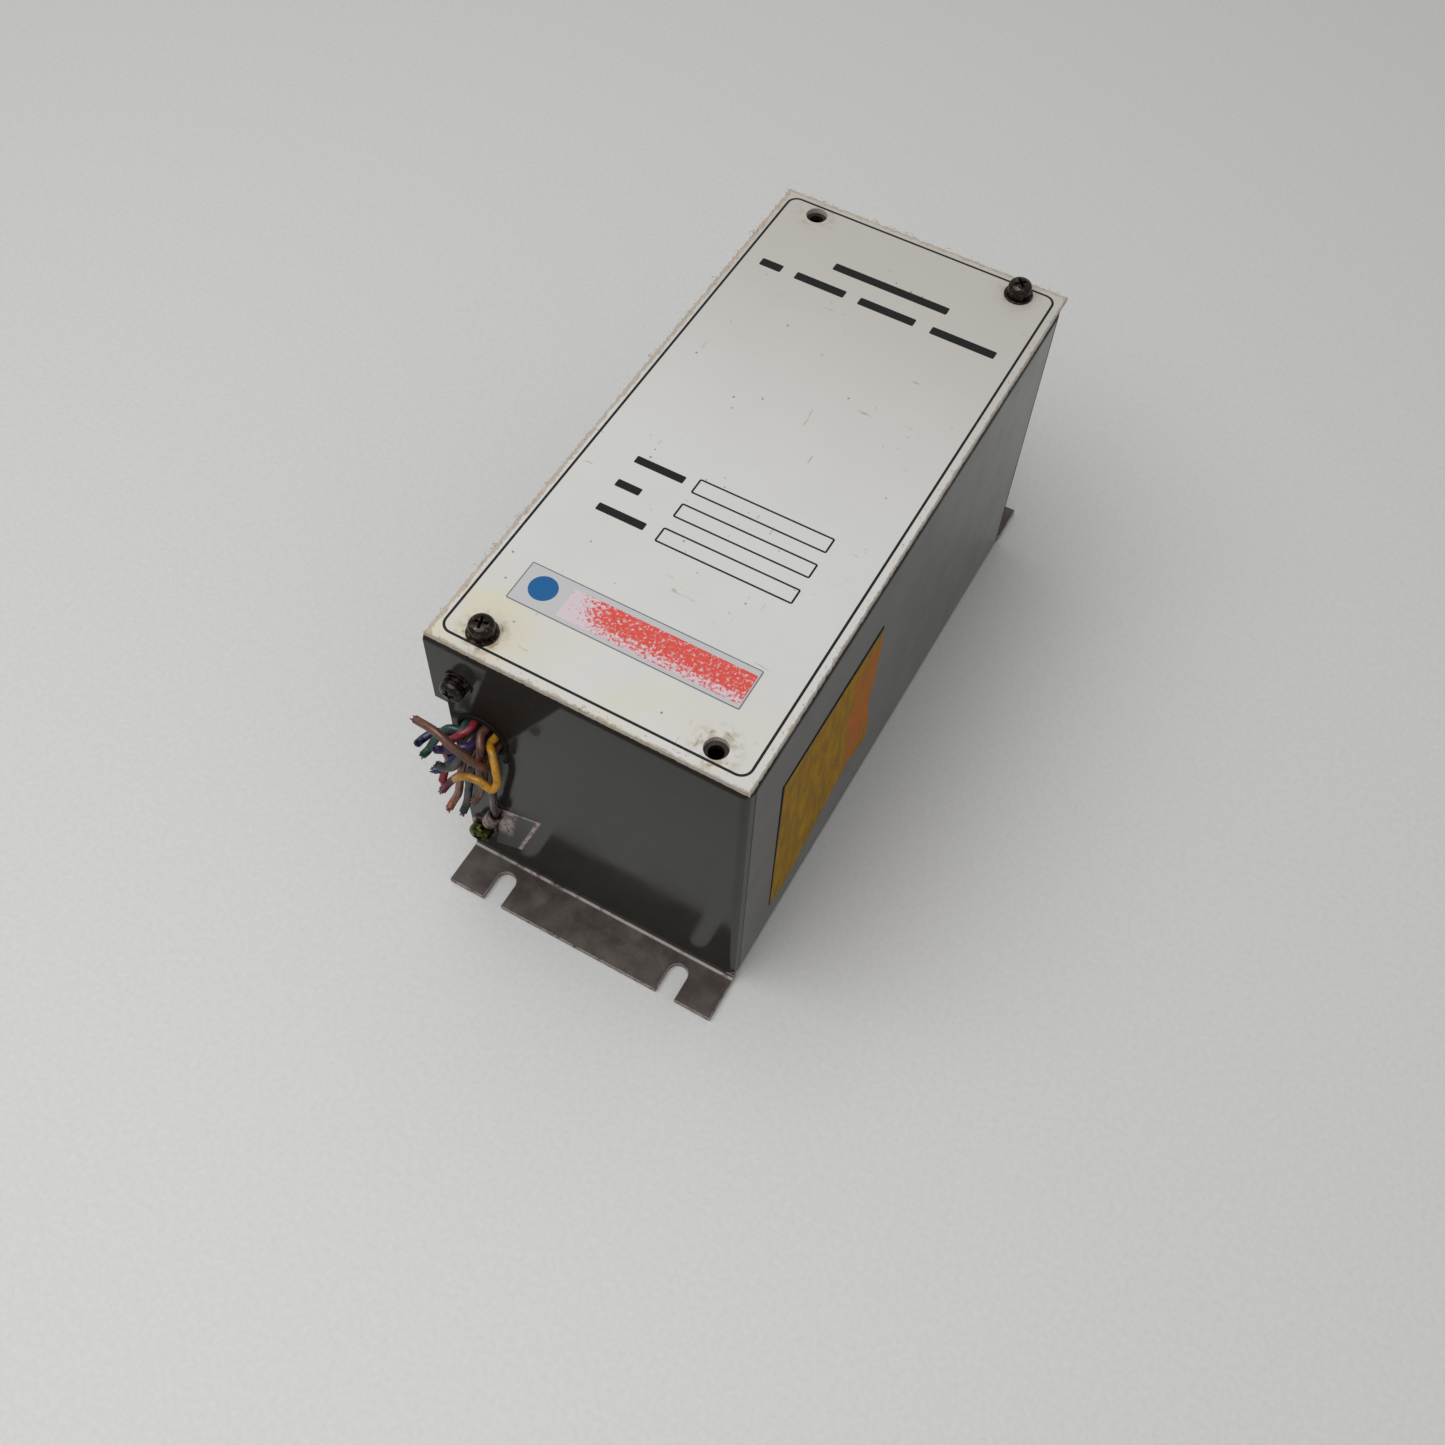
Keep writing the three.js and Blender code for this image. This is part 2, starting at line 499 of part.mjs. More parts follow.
for (const [name, y] of Object.entries(MODULE_Y)) {
  const baseTop = SPREADER_TOP + MODULE.base;
  const top = baseTop + MODULE.height;
  const [halfWidth, halfLength] = [MODULE.width / 2, MODULE.length / 2];
  const screws = [-MODULE.screwX, MODULE.screwX];
  const base = cut(
    solid(box([-halfWidth, halfWidth], [y - halfLength, y + halfLength], [SPREADER_TOP, baseTop])),
    ...screws.map((x) => hole(TAPPED_RADIUS, x, y, SPREADER_TOP - 1, baseTop + 1)),
  );
  add(`module_base_${name}`, base, aluminium);

  const terminals = [-1, 1].map((side) => [side * MODULE.terminalX, y + side * MODULE.terminalY]);
  const [caseX, caseY] = [halfWidth - 1, halfLength - 1];
  const notch = 5; // half the width of the open bay over a mounting screw
  const shell = cut(
    solid(box([-caseX, caseX], [y - caseY, y + caseY], [baseTop, top])),
    ...screws.map((x) => box(
      x < 0 ? [-halfWidth, x + notch] : [x - notch, halfWidth],
      [y - notch, y + notch],
      [baseTop - 1, top + 1],
    )),
    ...terminals.map(([tx, ty]) => hole(TAPPED_RADIUS, tx, ty, top - 9, top + 1)),
  );
  add(`module_case_${name}`, shell, blackPlastic);
  screws.forEach((x, i) => {
    add(`module_screw_${name}_${i + 1}`, plainScrew(6, 'z', [x, y, baseTop], 0), zinc);
  });
  terminals.forEach(([tx, ty], i) => {
    add(`module_terminal_${name}_${i + 1}`, plainScrew(6, 'z', [tx, ty, top], 0), brass);
  });
}

// ---- control board -----------------------------------------------------------------------------
const board = box([-BOARD.width / 2, BOARD.width / 2], [BOARD.front, BOARD.rear], [BOARD.z, BOARD_TOP]);
add('control_board', board, boardGreen);
POST_Y.flatMap((y) => [-POST_X, POST_X].map((x) => [x, y])).forEach(([x, y], i) => {
  add(`board_post_${i + 1}`, cylinder(2.5, SPREADER_TOP, BOARD.z, 'z', [x, y, 0], 6), brass);
});

const connector = box(
  [WIRE_HOLE.x - CONNECTOR.halfWidth, WIRE_HOLE.x + CONNECTOR.halfWidth],
  [CONNECTOR.front, CONNECTOR.rear],
  [BOARD_TOP, WIRE_HOLE.z + CONNECTOR.halfWidth],
);
add('harness_connector', connector, whitePlastic);

/** Laminated core with two windows, and the winding on its middle leg. */
const CORE = { x: 10, y: -30, width: 34, height: 28, depth: 14 };
const CORE_WINDOW = { inner: 5.5, outer: 12, bottom: BOARD_TOP + 6, top: BOARD_TOP + 23 };
const WINDING_REACH = 6; // how far the winding stands out before and behind the core
const core = cut(
  solid(box(
    [CORE.x - CORE.width / 2, CORE.x + CORE.width / 2],
    [CORE.y - CORE.depth / 2, CORE.y + CORE.depth / 2],
    [BOARD_TOP, BOARD_TOP + CORE.height],
  )),
  ...[-1, 1].map((side) => {
    const across = [CORE_WINDOW.inner, CORE_WINDOW.outer].map((reach) => CORE.x + side * reach);
    return box(
      across.sort((p, q) => p - q),
      [CORE.y - CORE.depth, CORE.y + CORE.depth],
      [CORE_WINDOW.bottom, CORE_WINDOW.top],
    );
  }),
);
add('transformer_core', core, zinc);
const winding = cut(
  solid(box(
    [CORE.x - CORE_WINDOW.outer + GAP, CORE.x + CORE_WINDOW.outer - GAP],
    [CORE.y - CORE.depth / 2 - WINDING_REACH, CORE.y + CORE.depth / 2 + WINDING_REACH],
    [CORE_WINDOW.bottom + GAP, CORE_WINDOW.top - GAP],
  )),
  box(
    [CORE.x - CORE_WINDOW.inner - GAP, CORE.x + CORE_WINDOW.inner + GAP],
    [CORE.y - CORE.depth / 2 - GAP, CORE.y + CORE.depth / 2 + GAP],
    [BOARD_TOP, BOARD_TOP + CORE.height],
  ),
);
add('transformer_winding', winding, { color: 0xb0522a, roughness: 0.5, metalness: 0.2 });

const CAPACITOR = { x: -22, y: -38, radius: 6.3, height: 22 };
add('capacitor', turned([
  [0, 0], [CAPACITOR.radius - 0.3, 0], [CAPACITOR.radius, 0.6], [CAPACITOR.radius, 2.6],
  [CAPACITOR.radius - 0.5, 3.2], [CAPACITOR.radius, 3.8], [CAPACITOR.radius, CAPACITOR.height - 0.6],
  [CAPACITOR.radius - 0.6, CAPACITOR.height], [0, CAPACITOR.height],
], 'z', [CAPACITOR.x, CAPACITOR.y, BOARD_TOP]), { color: 0x1d2a4d, roughness: 0.4, metalness: 0 });

const VARISTOR = { x: -22, y: -18, radius: 7, halfThickness: 2.2, middle: 11, legX: 3, legRadius: 0.5 };
const leg = (side) => {
  const foot = [VARISTOR.x + side * VARISTOR.legX, VARISTOR.y, BOARD_TOP];
  return solid(cylinder(VARISTOR.legRadius, 0, VARISTOR.middle - 3, 'z', foot, 6));
};
const varistor = solid(cylinder(
  VARISTOR.radius, -VARISTOR.halfThickness, VARISTOR.halfThickness, 'y',
  [VARISTOR.x, VARISTOR.y, BOARD_TOP + VARISTOR.middle],
)).add(leg(-1)).add(leg(1));
add('varistor', varistor, { color: 0x2f5f9e, roughness: 0.4, metalness: 0 });

const FUSE = { x: 0, y: -4, z: BOARD_TOP + 7, length: 20, cap: 5, radius: 2.6, glass: 2.2 };
const HOLDER = { halfWidth: 13, halfDepth: 4.5, rise: 1.5 };
const fuseBay = { halfLength: FUSE.length / 2 + GAP, halfDepth: FUSE.radius + GAP };
const fuseHolder = cut(
  solid(box(
    [FUSE.x - HOLDER.halfWidth, FUSE.x + HOLDER.halfWidth],
    [FUSE.y - HOLDER.halfDepth, FUSE.y + HOLDER.halfDepth],
    [BOARD_TOP, FUSE.z + HOLDER.rise],
  )),
  box(
    [FUSE.x - fuseBay.halfLength, FUSE.x + fuseBay.halfLength],
    [FUSE.y - fuseBay.halfDepth, FUSE.y + fuseBay.halfDepth],
    [FUSE.z - fuseBay.halfDepth, FUSE.z + HOLDER.rise + 1],
  ),
);
add('fuse_holder', fuseHolder, blackPlastic);
const fuseEnd = FUSE.length / 2;
add('fuse', turned([
  [0, -fuseEnd], [FUSE.radius, -fuseEnd], [FUSE.radius, FUSE.cap - fuseEnd], [FUSE.glass, FUSE.cap - fuseEnd],
  [FUSE.glass, fuseEnd - FUSE.cap], [FUSE.radius, fuseEnd - FUSE.cap], [FUSE.radius, fuseEnd], [0, fuseEnd],
], 'x', [FUSE.x, FUSE.y, FUSE.z], 12), { color: 0xd8d8d0, roughness: 0.2, metalness: 0.3 });

export default object;
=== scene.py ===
"""Visual model of the solid state relay box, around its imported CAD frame. Metres, +Z up.

The lengths written here are in millimetres and are turned into metres by MM. The wires leave the
front wall, which faces -Y.
"""

import json
import math
import random

import bmesh
import bpy
from mathutils import Matrix, Vector
from mathutils.geometry import tessellate_polygon


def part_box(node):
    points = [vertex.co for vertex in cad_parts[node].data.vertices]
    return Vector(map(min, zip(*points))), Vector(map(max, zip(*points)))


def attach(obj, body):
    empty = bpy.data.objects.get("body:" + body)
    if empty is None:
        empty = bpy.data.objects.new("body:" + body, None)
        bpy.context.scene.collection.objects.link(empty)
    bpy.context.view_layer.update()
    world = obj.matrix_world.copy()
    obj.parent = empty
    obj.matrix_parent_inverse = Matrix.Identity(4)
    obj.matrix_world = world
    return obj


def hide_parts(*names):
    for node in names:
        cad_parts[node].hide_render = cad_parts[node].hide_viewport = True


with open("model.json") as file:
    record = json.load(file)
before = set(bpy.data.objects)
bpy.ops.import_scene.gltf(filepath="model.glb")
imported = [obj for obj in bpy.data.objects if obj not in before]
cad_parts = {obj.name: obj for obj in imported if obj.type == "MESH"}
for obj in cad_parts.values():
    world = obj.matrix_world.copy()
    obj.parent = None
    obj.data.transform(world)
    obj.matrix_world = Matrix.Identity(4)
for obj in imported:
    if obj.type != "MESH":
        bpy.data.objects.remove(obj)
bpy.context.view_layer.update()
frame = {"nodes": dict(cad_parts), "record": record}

MM = 0.001
scene = bpy.context.scene
scene.view_settings.view_transform = "Standard"
draw = random.Random(11)

RECORD = frame["record"]
BODY = {n: body for body, group in RECORD["behaviour"]["bodies"].items() for n in group}


def corners(node):
    """The lowest and highest corner of a CAD node, in millimetres."""
    low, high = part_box(node)
    return low / MM, high / MM


def middle(node):
    low, high = corners(node)
    return (low + high) / 2


CHASSIS_LOW, CHASSIS_HIGH = corners("chassis")
LID_LOW, LID_HIGH = corners("lid_plate")
HALF_WIDTH = CHASSIS_HIGH.x
FRONT_Y = corners("ground_ring_terminal")[1].y  # outer face of the front wall
SHEET = 1.5
LID_HOLE_RADIUS = 2.8


# ---- materials -----------------------------------------------------------------------------------
class Shader:
    """A node material. Its methods add nodes and return sockets. Lengths are in millimetres."""

    def __init__(self, name):
        self.material = bpy.data.materials.new(name)
        self.material.use_nodes = True
        self.tree = self.material.node_tree
        self.surface = self.tree.nodes["Principled BSDF"]
        place = self.node("ShaderNodeTexCoord").outputs["Object"]
        scaled = self.node("ShaderNodeVectorMath", {0: place, 1: (1 / MM,) * 3}, operation="MULTIPLY")
        self.mm = scaled.outputs[0]
        self.x, self.y, self.z = self.node("ShaderNodeSeparateXYZ", {0: self.mm}).outputs

    def put(self, socket, value):
        """Feeds a socket from another socket, or sets it to a number, a vector or a colour."""
        if isinstance(value, bpy.types.NodeSocket):
            self.tree.links.new(value, socket)
        elif socket.type == "RGBA":
            socket.default_value = (*value, 1)
        else:
            socket.default_value = value

    def node(self, kind, inputs=None, **settings):
        node = self.tree.nodes.new(kind)
        for key, value in settings.items():
            setattr(node, key, value)
        for key, value in (inputs or {}).items():
            self.put(node.inputs[key], value)
        return node

    def math(self, operation, first, second=0.0):
        return self.node("ShaderNodeMath", {0: first, 1: second}, operation=operation).outputs[0]

    def plus(self, first, second):
        return self.math("ADD", first, second)

    def minus(self, first, second):
        return self.math("SUBTRACT", first, second)

    def times(self, first, second):
        return self.math("MULTIPLY", first, second)

    def lesser(self, first, second):
        return self.math("MINIMUM", first, second)

    def greater(self, first, second):
        return self.math("MAXIMUM", first, second)

    def size_of(self, value):
        return self.math("ABSOLUTE", value)

    def step(self, value, start, end, low=0.0, high=1.0):
        """A smooth step of the value from start to end."""
        inputs = {0: value, 1: start, 2: end, 3: low, 4: high}
        return self.node("ShaderNodeMapRange", inputs, interpolation_type="SMOOTHSTEP").outputs[0]

    def noise(self, size, detail=3.0, rough=0.55, stretch=(1, 1, 1), shift=0.0):
        """Noise whose features are about size across, longer along an axis whose stretch is below 1."""
        vector = self.node("ShaderNodeVectorMath", {0: self.mm, 1: stretch, 2: (shift,) * 3},
                           operation="MULTIPLY_ADD").outputs[0]
        inputs = {"Vector": vector, "Scale": 1 / size, "Detail": detail, "Roughness": rough}
        return self.node("ShaderNodeTexNoise", inputs).outputs[0]

    def cells(self, size, feature="F1"):
        """Distances in a pattern of irregular cells, each about size across."""
        inputs = {"Vector": self.mm, "Scale": 1 / size}
        return self.node("ShaderNodeTexVoronoi", inputs, feature=feature).outputs[0]

    def mix(self, share, first, second):
        """The first colour, turning into the second as the share goes from 0 to 1."""
        return self.node("ShaderNodeMix", {0: share, 6: first, 7: second}, data_type="RGBA").outputs[2]

    def distance(self, first, second, centre):
        """How far the pair of coordinates is from the centre given."""
        spot = self.node("ShaderNodeCombineXYZ", {0: first, 1: second, 2: 0.0}).outputs[0]
        ends = {0: spot, 1: (*centre, 0)}
        return self.node("ShaderNodeVectorMath", ends, operation="DISTANCE").outputs["Value"]

    def bump(self, height, depth, strength=1.0):
        inputs = {"Strength": strength, "Distance": depth * MM, "Height": height}
        return self.node("ShaderNodeBump", inputs).outputs[0]

    def facing_up(self, kind="Normal"):
        """How far the surface faces up, by its shading normal or, with "True Normal", by its faces."""
        normal = self.node("ShaderNodeNewGeometry").outputs[kind]
        return self.node("ShaderNodeSeparateXYZ", {0: normal}).outputs[2]

    def done(self, **inputs):
        """Feeds the surface's own sockets and returns the material."""
        names = {"color": "Base Color", "rough": "Roughness", "metal": "Metallic", "normal": "Normal",
                 "specular": "Specular IOR Level", "clear": "Transmission Weight"}
        for key, value in inputs.items():
            self.put(self.surface.inputs[names[key]], value)
        return self.material


FOLD_HIGHLIGHT = (0.42, 0.37, 0.35)  # colour of the painted highlight along each foot's bend
REFLECTION_EDGE_PINK = (0.46, 0.36, 0.33)  # pinkish bright edges of the painted reflection beside the ground screw
# colour of painted shade: the shadow under the lid and the dark reflection on the front wall
PAINTED_SHADE = (0.012, 0.0075, 0.0055)


def on_front(s):
    """One on the outer face of the front wall and nothing elsewhere."""
    return s.step(s.y, FRONT_Y + 0.6, FRONT_Y + 0.3)


def slanted(s, low, high, soft):
    """One right of the line from low to high, both (x, z); nothing left of it."""
    slope = (high[0] - low[0]) / (high[1] - low[1])
    line = s.plus(s.times(s.z, slope), low[0] - slope * low[1])
    return s.step(s.minus(s.x, line), -soft, soft)


def painted_bundle_reflection(s):
    """Painted shade on the front wall: the wire bundle's dark reflection up to the lid, and a dark spot
    below the hole.
    """
    left = slanted(s, (-33.2, 68.8), (-26.8, 89.1), 0.5)
    right = slanted(s, (-25.1, 61.9), (-9.2, 88.3), 0.6)
    patch = s.times(left, s.minus(1.0, right))
    patch = s.times(patch, s.step(s.noise(5, detail=4, shift=17), 0.15, 0.45, 0.6, 1))
    patch = s.times(patch, s.step(s.z, 61, 66))
    upright = 0.6  # below 1, this stretches the lower spot along Z
    below = s.distance(s.x, s.times(s.z, upright), (-32.5, 31.5))
    patch = s.greater(patch, s.step(below, 9.0, 5.5))
    return s.times(patch, on_front(s))


def painted_screw_reflection(s):
    """A painted reflection beside the ground screw: its dull, lighter fill, and its pinkish rim of painted
    highlight.
    """
    left = slanted(s, (-32.1, 7.8), (-28.5, 29.0), 0.3)
    right = slanted(s, (-24.0, 11.4), (-16.5, 32.4), 0.3)
    top = s.minus(s.plus(s.times(s.x, 0.28), 37.1), s.z)
    bottom = s.minus(s.z, s.plus(s.times(s.x, 0.44), 21.9))
    inside = s.times(s.times(left, s.minus(1.0, right)), on_front(s))
    fill = s.times(inside, s.step(s.lesser(top, bottom), 0, 0.5))
    right_rim = slanted(s, (-25.0, 11.4), (-17.5, 32.4), 0.3)
    rim = s.greater(right_rim, s.step(top, 1.3, 0.6))
    rim = s.times(rim, s.step(s.noise(1.1, detail=6, rough=0.75, shift=21), 0.42, 0.54))
    left_side = s.minus(1.0, slanted(s, (-28.3, 7.8), (-24.4, 29.0), 1.2))
    left_side = s.times(left_side, s.step(s.z, 14, 20))
    ragged = s.step(s.noise(1.3, detail=6, rough=0.7, shift=1), 0.40, 0.54)
    rubbed = s.greater(rim, s.times(left_side, ragged))
    return fill, s.times(fill, rubbed)


def painted_fold_highlight(s):
    """The painted highlight along the bend between each foot and its wall."""
    past_wall = s.plus(s.size_of(s.y), FRONT_Y)
    fold = s.times(s.step(s.z, SHEET, SHEET + 0.15), s.step(s.z, SHEET + 0.7, SHEET + 0.4))
    fold = s.times(fold, s.step(s.noise(4, detail=5, rough=0.7, shift=13), 0.34, 0.52))
    return s.times(fold, s.times(s.step(past_wall, -0.3, 0), s.step(past_wall, 1.0, 0.6)))


def bare_edge(s, chipped):
    """Where the enamel has come off the sheet's edges: any edge, or only the feet's."""
    on_edge = s.step(s.facing_up("True Normal"), 0.985, 0.95)
    if not chipped:
        on_edge = s.times(on_edge, s.step(s.z, SHEET, SHEET - 0.1))
    more_below = s.times(s.step(s.z, 4.5, 2.5), 0.26)
    loss = s.plus(s.noise(2.3, detail=5, rough=0.7, shift=4), more_below)
    return s.times(s.step(loss, 0.66, 0.76), on_edge)


def enamel(name, chipped):
    """Glossy dark grey enamel. The chipped kind is for the sheet's edges and shows bare steel."""
    s = Shader(name)
    grey = s.mix(s.noise(18, detail=4), (0.019, 0.018, 0.0155), (0.030, 0.0285, 0.024))
    foot = s.step(s.z, SHEET + 1.2, SHEET)
    worn = s.step(s.noise(6, detail=5, rough=0.65), 0.42, 0.68)
    satin = s.mix(worn, (0.048, 0.038, 0.033), (0.084, 0.070, 0.063))
    grey = s.mix(s.times(foot, 0.85), grey, satin)

    # Painted shadow under the lid's overhang, joined with the painted dark reflection; both also dull the
    # enamel's shine.
    painted_lid_shadow = s.step(s.z, LID_LOW.z - 5.5, LID_LOW.z - 3.6)
    painted_lid_shadow = s.times(painted_lid_shadow, s.step(s.noise(5, shift=11), 0.1, 0.4))
    painted_shade = s.greater(painted_lid_shadow, painted_bundle_reflection(s))
    grey = s.mix(s.times(painted_shade, 0.85), grey, PAINTED_SHADE)

    speck = s.times(s.step(s.cells(0.95), 0.16, 0.08), s.step(s.noise(8, shift=3), 0.42, 0.62))
    grey = s.mix(s.times(speck, 0.35), grey, (0.15, 0.145, 0.13))
    scratch = s.step(s.noise(1.1, detail=2, stretch=(0.08, 0.08, 1), shift=9), 0.70, 0.74)
    scratch = s.times(scratch, s.step(s.noise(22, shift=5), 0.52, 0.62))
    grey = s.mix(s.times(scratch, 0.35), grey, (0.13, 0.125, 0.115))
    dust = s.times(s.step(s.facing_up(), 0.6, 1), s.step(s.noise(9, detail=5, shift=2), 0.35, 0.75))
    grey = s.mix(s.times(dust, 0.22), grey, (0.22, 0.20, 0.17))
    rough = s.step(s.noise(14, detail=5, shift=7), 0.3, 0.7, 0.11, 0.20)
    rough = s.plus(rough, s.times(dust, 0.10))
    rough = s.plus(rough, s.times(s.greater(foot, painted_shade), 0.30))

    # Painted highlight along each foot's bend.
    grey = s.mix(s.times(painted_fold_highlight(s), 0.8), grey, FOLD_HIGHLIGHT)
    bare = bare_edge(s, chipped)
    steel = s.mix(s.noise(0.9, detail=4, shift=8), (0.11, 0.085, 0.072), (0.50, 0.43, 0.40))
    grey = s.mix(s.times(bare, 0.9), grey, steel)
    rough = s.mix(bare, rough, (0.48, 0.48, 0.48))
    if not chipped:
        # Painted reflection beside the ground screw: a lighter fill with pinkish bright edges.
        fill, rubbed = painted_screw_reflection(s)
        grey = s.mix(s.times(fill, 0.8), grey, (0.088, 0.086, 0.088))
        grey = s.mix(rubbed, grey, REFLECTION_EDGE_PINK)
        seam = s.step(s.size_of(s.minus(s.y, CHASSIS_LOW.y)), 0.5, 0.2)
        seam = s.times(seam, s.step(s.noise(6, shift=6), 0.30, 0.50))
        grey = s.mix(s.times(seam, 0.9), grey, (0.022, 0.008, 0.005))
        rough = s.mix(s.greater(rubbed, s.times(fill, 0.5)), rough, (0.5, 0.5, 0.5))
    peel = s.plus(s.noise(2.6, detail=1), s.times(s.noise(0.7, detail=2), 0.25))
    return s.done(color=grey, rough=rough, metal=s.times(bare, 0.4), normal=s.bump(peel, 0.02, 0.5),
                  specular=s.step(painted_shade, 0, 1, 0.20, 0.05))


def lid_soiling(s):
    """Two masks along the lid's edge: the soiled margin, and the chips in it."""
    centre = (LID_LOW + LID_HIGH) / 2
    half = (LID_HIGH - LID_LOW) / 2
    side = s.minus(half.x, s.size_of(s.minus(s.x, centre.x)))
    end = s.minus(half.y, s.size_of(s.minus(s.y, centre.y)))
    edge = s.lesser(side, end)
    left = s.step(s.x, LID_LOW.x + 2.4, LID_LOW.x + 1.4)
    rear = s.step(s.y, LID_HIGH.y - 2.4, LID_HIGH.y - 1.4)
    wider = s.times(s.greater(left, rear), -0.9)
    ragged = s.times(s.noise(2.2, detail=6, rough=0.75), -2.6)
    reach = s.plus(s.plus(wider, ragged), 0.75)
    soiled = s.step(s.plus(edge, reach), 0.0, -0.4)
    chips = s.step(s.noise(0.9, detail=5, rough=0.7, shift=23), 0.60, 0.66)
    return soiled, s.times(s.step(edge, 1.9, 1.2), chips)


def lid_yellowing(s):
    """How yellow the lid is: towards the front, and most at the front left corner."""
    front = s.step(s.y, LID_LOW.y + 30, LID_LOW.y + 4)
    front = s.times(front, s.step(s.noise(16, detail=4, shift=1), 0.35, 0.65, 0.05, 0.45))
    corner = s.step(s.distance(s.x, s.y, (LID_LOW.x + 9, LID_LOW.y + 6)), 22, 4)
    corner = s.times(corner, s.step(s.noise(9, detail=4, shift=19), 0.25, 0.60))
    return s.greater(front, corner)


def hair_scratches(s):
    """Fine scratches along and across the lid."""
    along = s.step(s.noise(0.9, detail=2, stretch=(1, 0.09, 1), shift=4), 0.71, 0.74)
    along = s.times(along, s.step(s.noise(14, shift=8), 0.53, 0.60))
    across = s.step(s.noise(0.9, detail=2, stretch=(0.12, 0.9, 1), shift=14), 0.70, 0.73)
    across = s.times(across, s.step(s.noise(17, shift=12), 0.54, 0.62))
    return s.greater(along, across)


def lid_coating():
    """Off-white satin coating, with stained rims, grime along the edges, small scratches and painted shade
    towards the rear.
    """
    s = Shader("white_lid_coating")
    white = s.mix(s.noise(30, detail=3), (0.455, 0.452, 0.435), (0.50, 0.497, 0.483))
    white = s.mix(s.times(lid_yellowing(s), 0.8), white, (0.50, 0.455, 0.325))
    blotches = s.step(s.noise(2.4, detail=5, shift=3), 0.42, 0.62)
    for hole in LID_HOLES:
        away = s.distance(s.x, s.y, hole)
        near = s.step(away, 7.5, 3.6)
        washer_print = s.times(s.step(away, 4.9, 4.4), s.step(away, 3.7, 4.1))
        stain = s.times(s.greater(s.times(near, 0.6), washer_print), blotches)
        white = s.mix(s.times(stain, 0.9), white, (0.25, 0.18, 0.10))
    # Painted shade with a dusty tint: the lid turns darker and warmer towards the rear.
    dusty = s.times(s.step(s.y, LID_LOW.y + 60, LID_HIGH.y), 0.75)
    white = s.mix(dusty, white, (0.36, 0.335, 0.30))

    soiled, chips = lid_soiling(s)
    brown = s.mix(s.noise(1.1, detail=5, rough=0.7, shift=5), (0.17, 0.115, 0.075), (0.50, 0.44, 0.36))
    white = s.mix(s.times(soiled, 0.85), white, brown)
    white = s.mix(s.times(chips, 0.8), white, (0.20, 0.12, 0.07))
    white = s.mix(s.times(hair_scratches(s), 0.55), white, (0.24, 0.19, 0.16))
    fleck = s.times(s.step(s.cells(3.1), 0.12, 0.07), s.step(s.noise(9, shift=10), 0.54, 0.62))
    white = s.mix(s.times(fleck, 0.8), white, (0.13, 0.10, 0.08))
    rough = s.step(s.noise(11, detail=4, shift=2), 0.3, 0.7, 0.30, 0.46)
    texture = s.plus(s.noise(0.7, detail=2), s.times(soiled, s.noise(0.5, detail=5)))
    return s.done(color=white, rough=rough, normal=s.bump(texture, 0.03, 0.6))


def lid_raw_edge():
    """The lid's sawn, fibrous and soiled edge: pale at the top, near black below it as painted shade of the
    gap under the lid.
    """
    s = Shader("lid_raw_edge")
    fibre = s.noise(0.8, detail=6, rough=0.7)
    upper = s.plus(s.z, s.times(s.noise(2.5, detail=5, rough=0.7, shift=2), 0.6))
    upper = s.step(upper, LID_HIGH.z - 0.05, LID_HIGH.z + 0.25)
    pale = s.mix(s.step(fibre, 0.35, 0.55), (0.20, 0.15, 0.12), (0.60, 0.56, 0.52))
    # Below the pale top the edge is painted near black, standing in for the shade in the gap under the lid.
    color = s.mix(upper, s.mix(fibre, (0.018, 0.012, 0.009), (0.060, 0.046, 0.038)), pale)
    return s.done(color=color, rough=0.85, normal=s.bump(fibre, 0.15, 1.0))


def screw_steel():
    """Blackened screw steel, greasy and starting to rust."""
    s = Shader("blackened_screw_steel")
    rust = s.step(s.noise(1.2, detail=6, rough=0.7), 0.50, 0.68)
    color = s.mix(rust, (0.024, 0.020, 0.018), (0.085, 0.040, 0.022))
    bright = s.step(s.noise(0.7, detail=3, shift=5), 0.62, 0.70)
    color = s.mix(s.times(bright, 0.45), color, (0.30, 0.25, 0.20))
    rough = s.mix(rust, (0.26, 0.26, 0.26), (0.62, 0.62, 0.62))
    return s.done(color=color, rough=rough, metal=s.step(rust, 0, 1, 0.9, 0.2),
                  normal=s.bump(s.noise(0.5, detail=4), 0.05, 0.7))


def metal(name, light, dark, rough=(0.25, 0.45), size=2.0, stretch=(1, 1, 1)):
    s = Shader(name)
    tone = s.noise(size, detail=5, rough=0.6, stretch=stretch)
    color = s.mix(s.step(tone, 0.3, 0.7), dark, light)
    return s.done(color=color, rough=s.step(tone, 0.3, 0.7, rough[1], rough[0]), metal=1.0,
                  normal=s.bump(tone, 0.02, 0.6))


def plastic(name, color, rough=(0.35, 0.55), dusty=0.15, specular=0.5):
    """Moulded plastic with a fine grain and a little dust on what faces up."""
    s = Shader(name)
    shade = tuple(c * 0.7 for c in color)
    tone = s.mix(s.noise(6, detail=4), shade, color)
    dust = s.times(s.step(s.facing_up(), 0.5, 1), s.step(s.noise(5, detail=5, shift=3), 0.4, 0.7))
    tone = s.mix(s.times(dust, dusty), tone, (0.35, 0.33, 0.30))
    return s.done(color=tone, rough=s.step(s.noise(9, shift=4), 0.3, 0.7, *rough), specular=specular,
                  normal=s.bump(s.noise(0.35, detail=2), 0.02, 0.6))


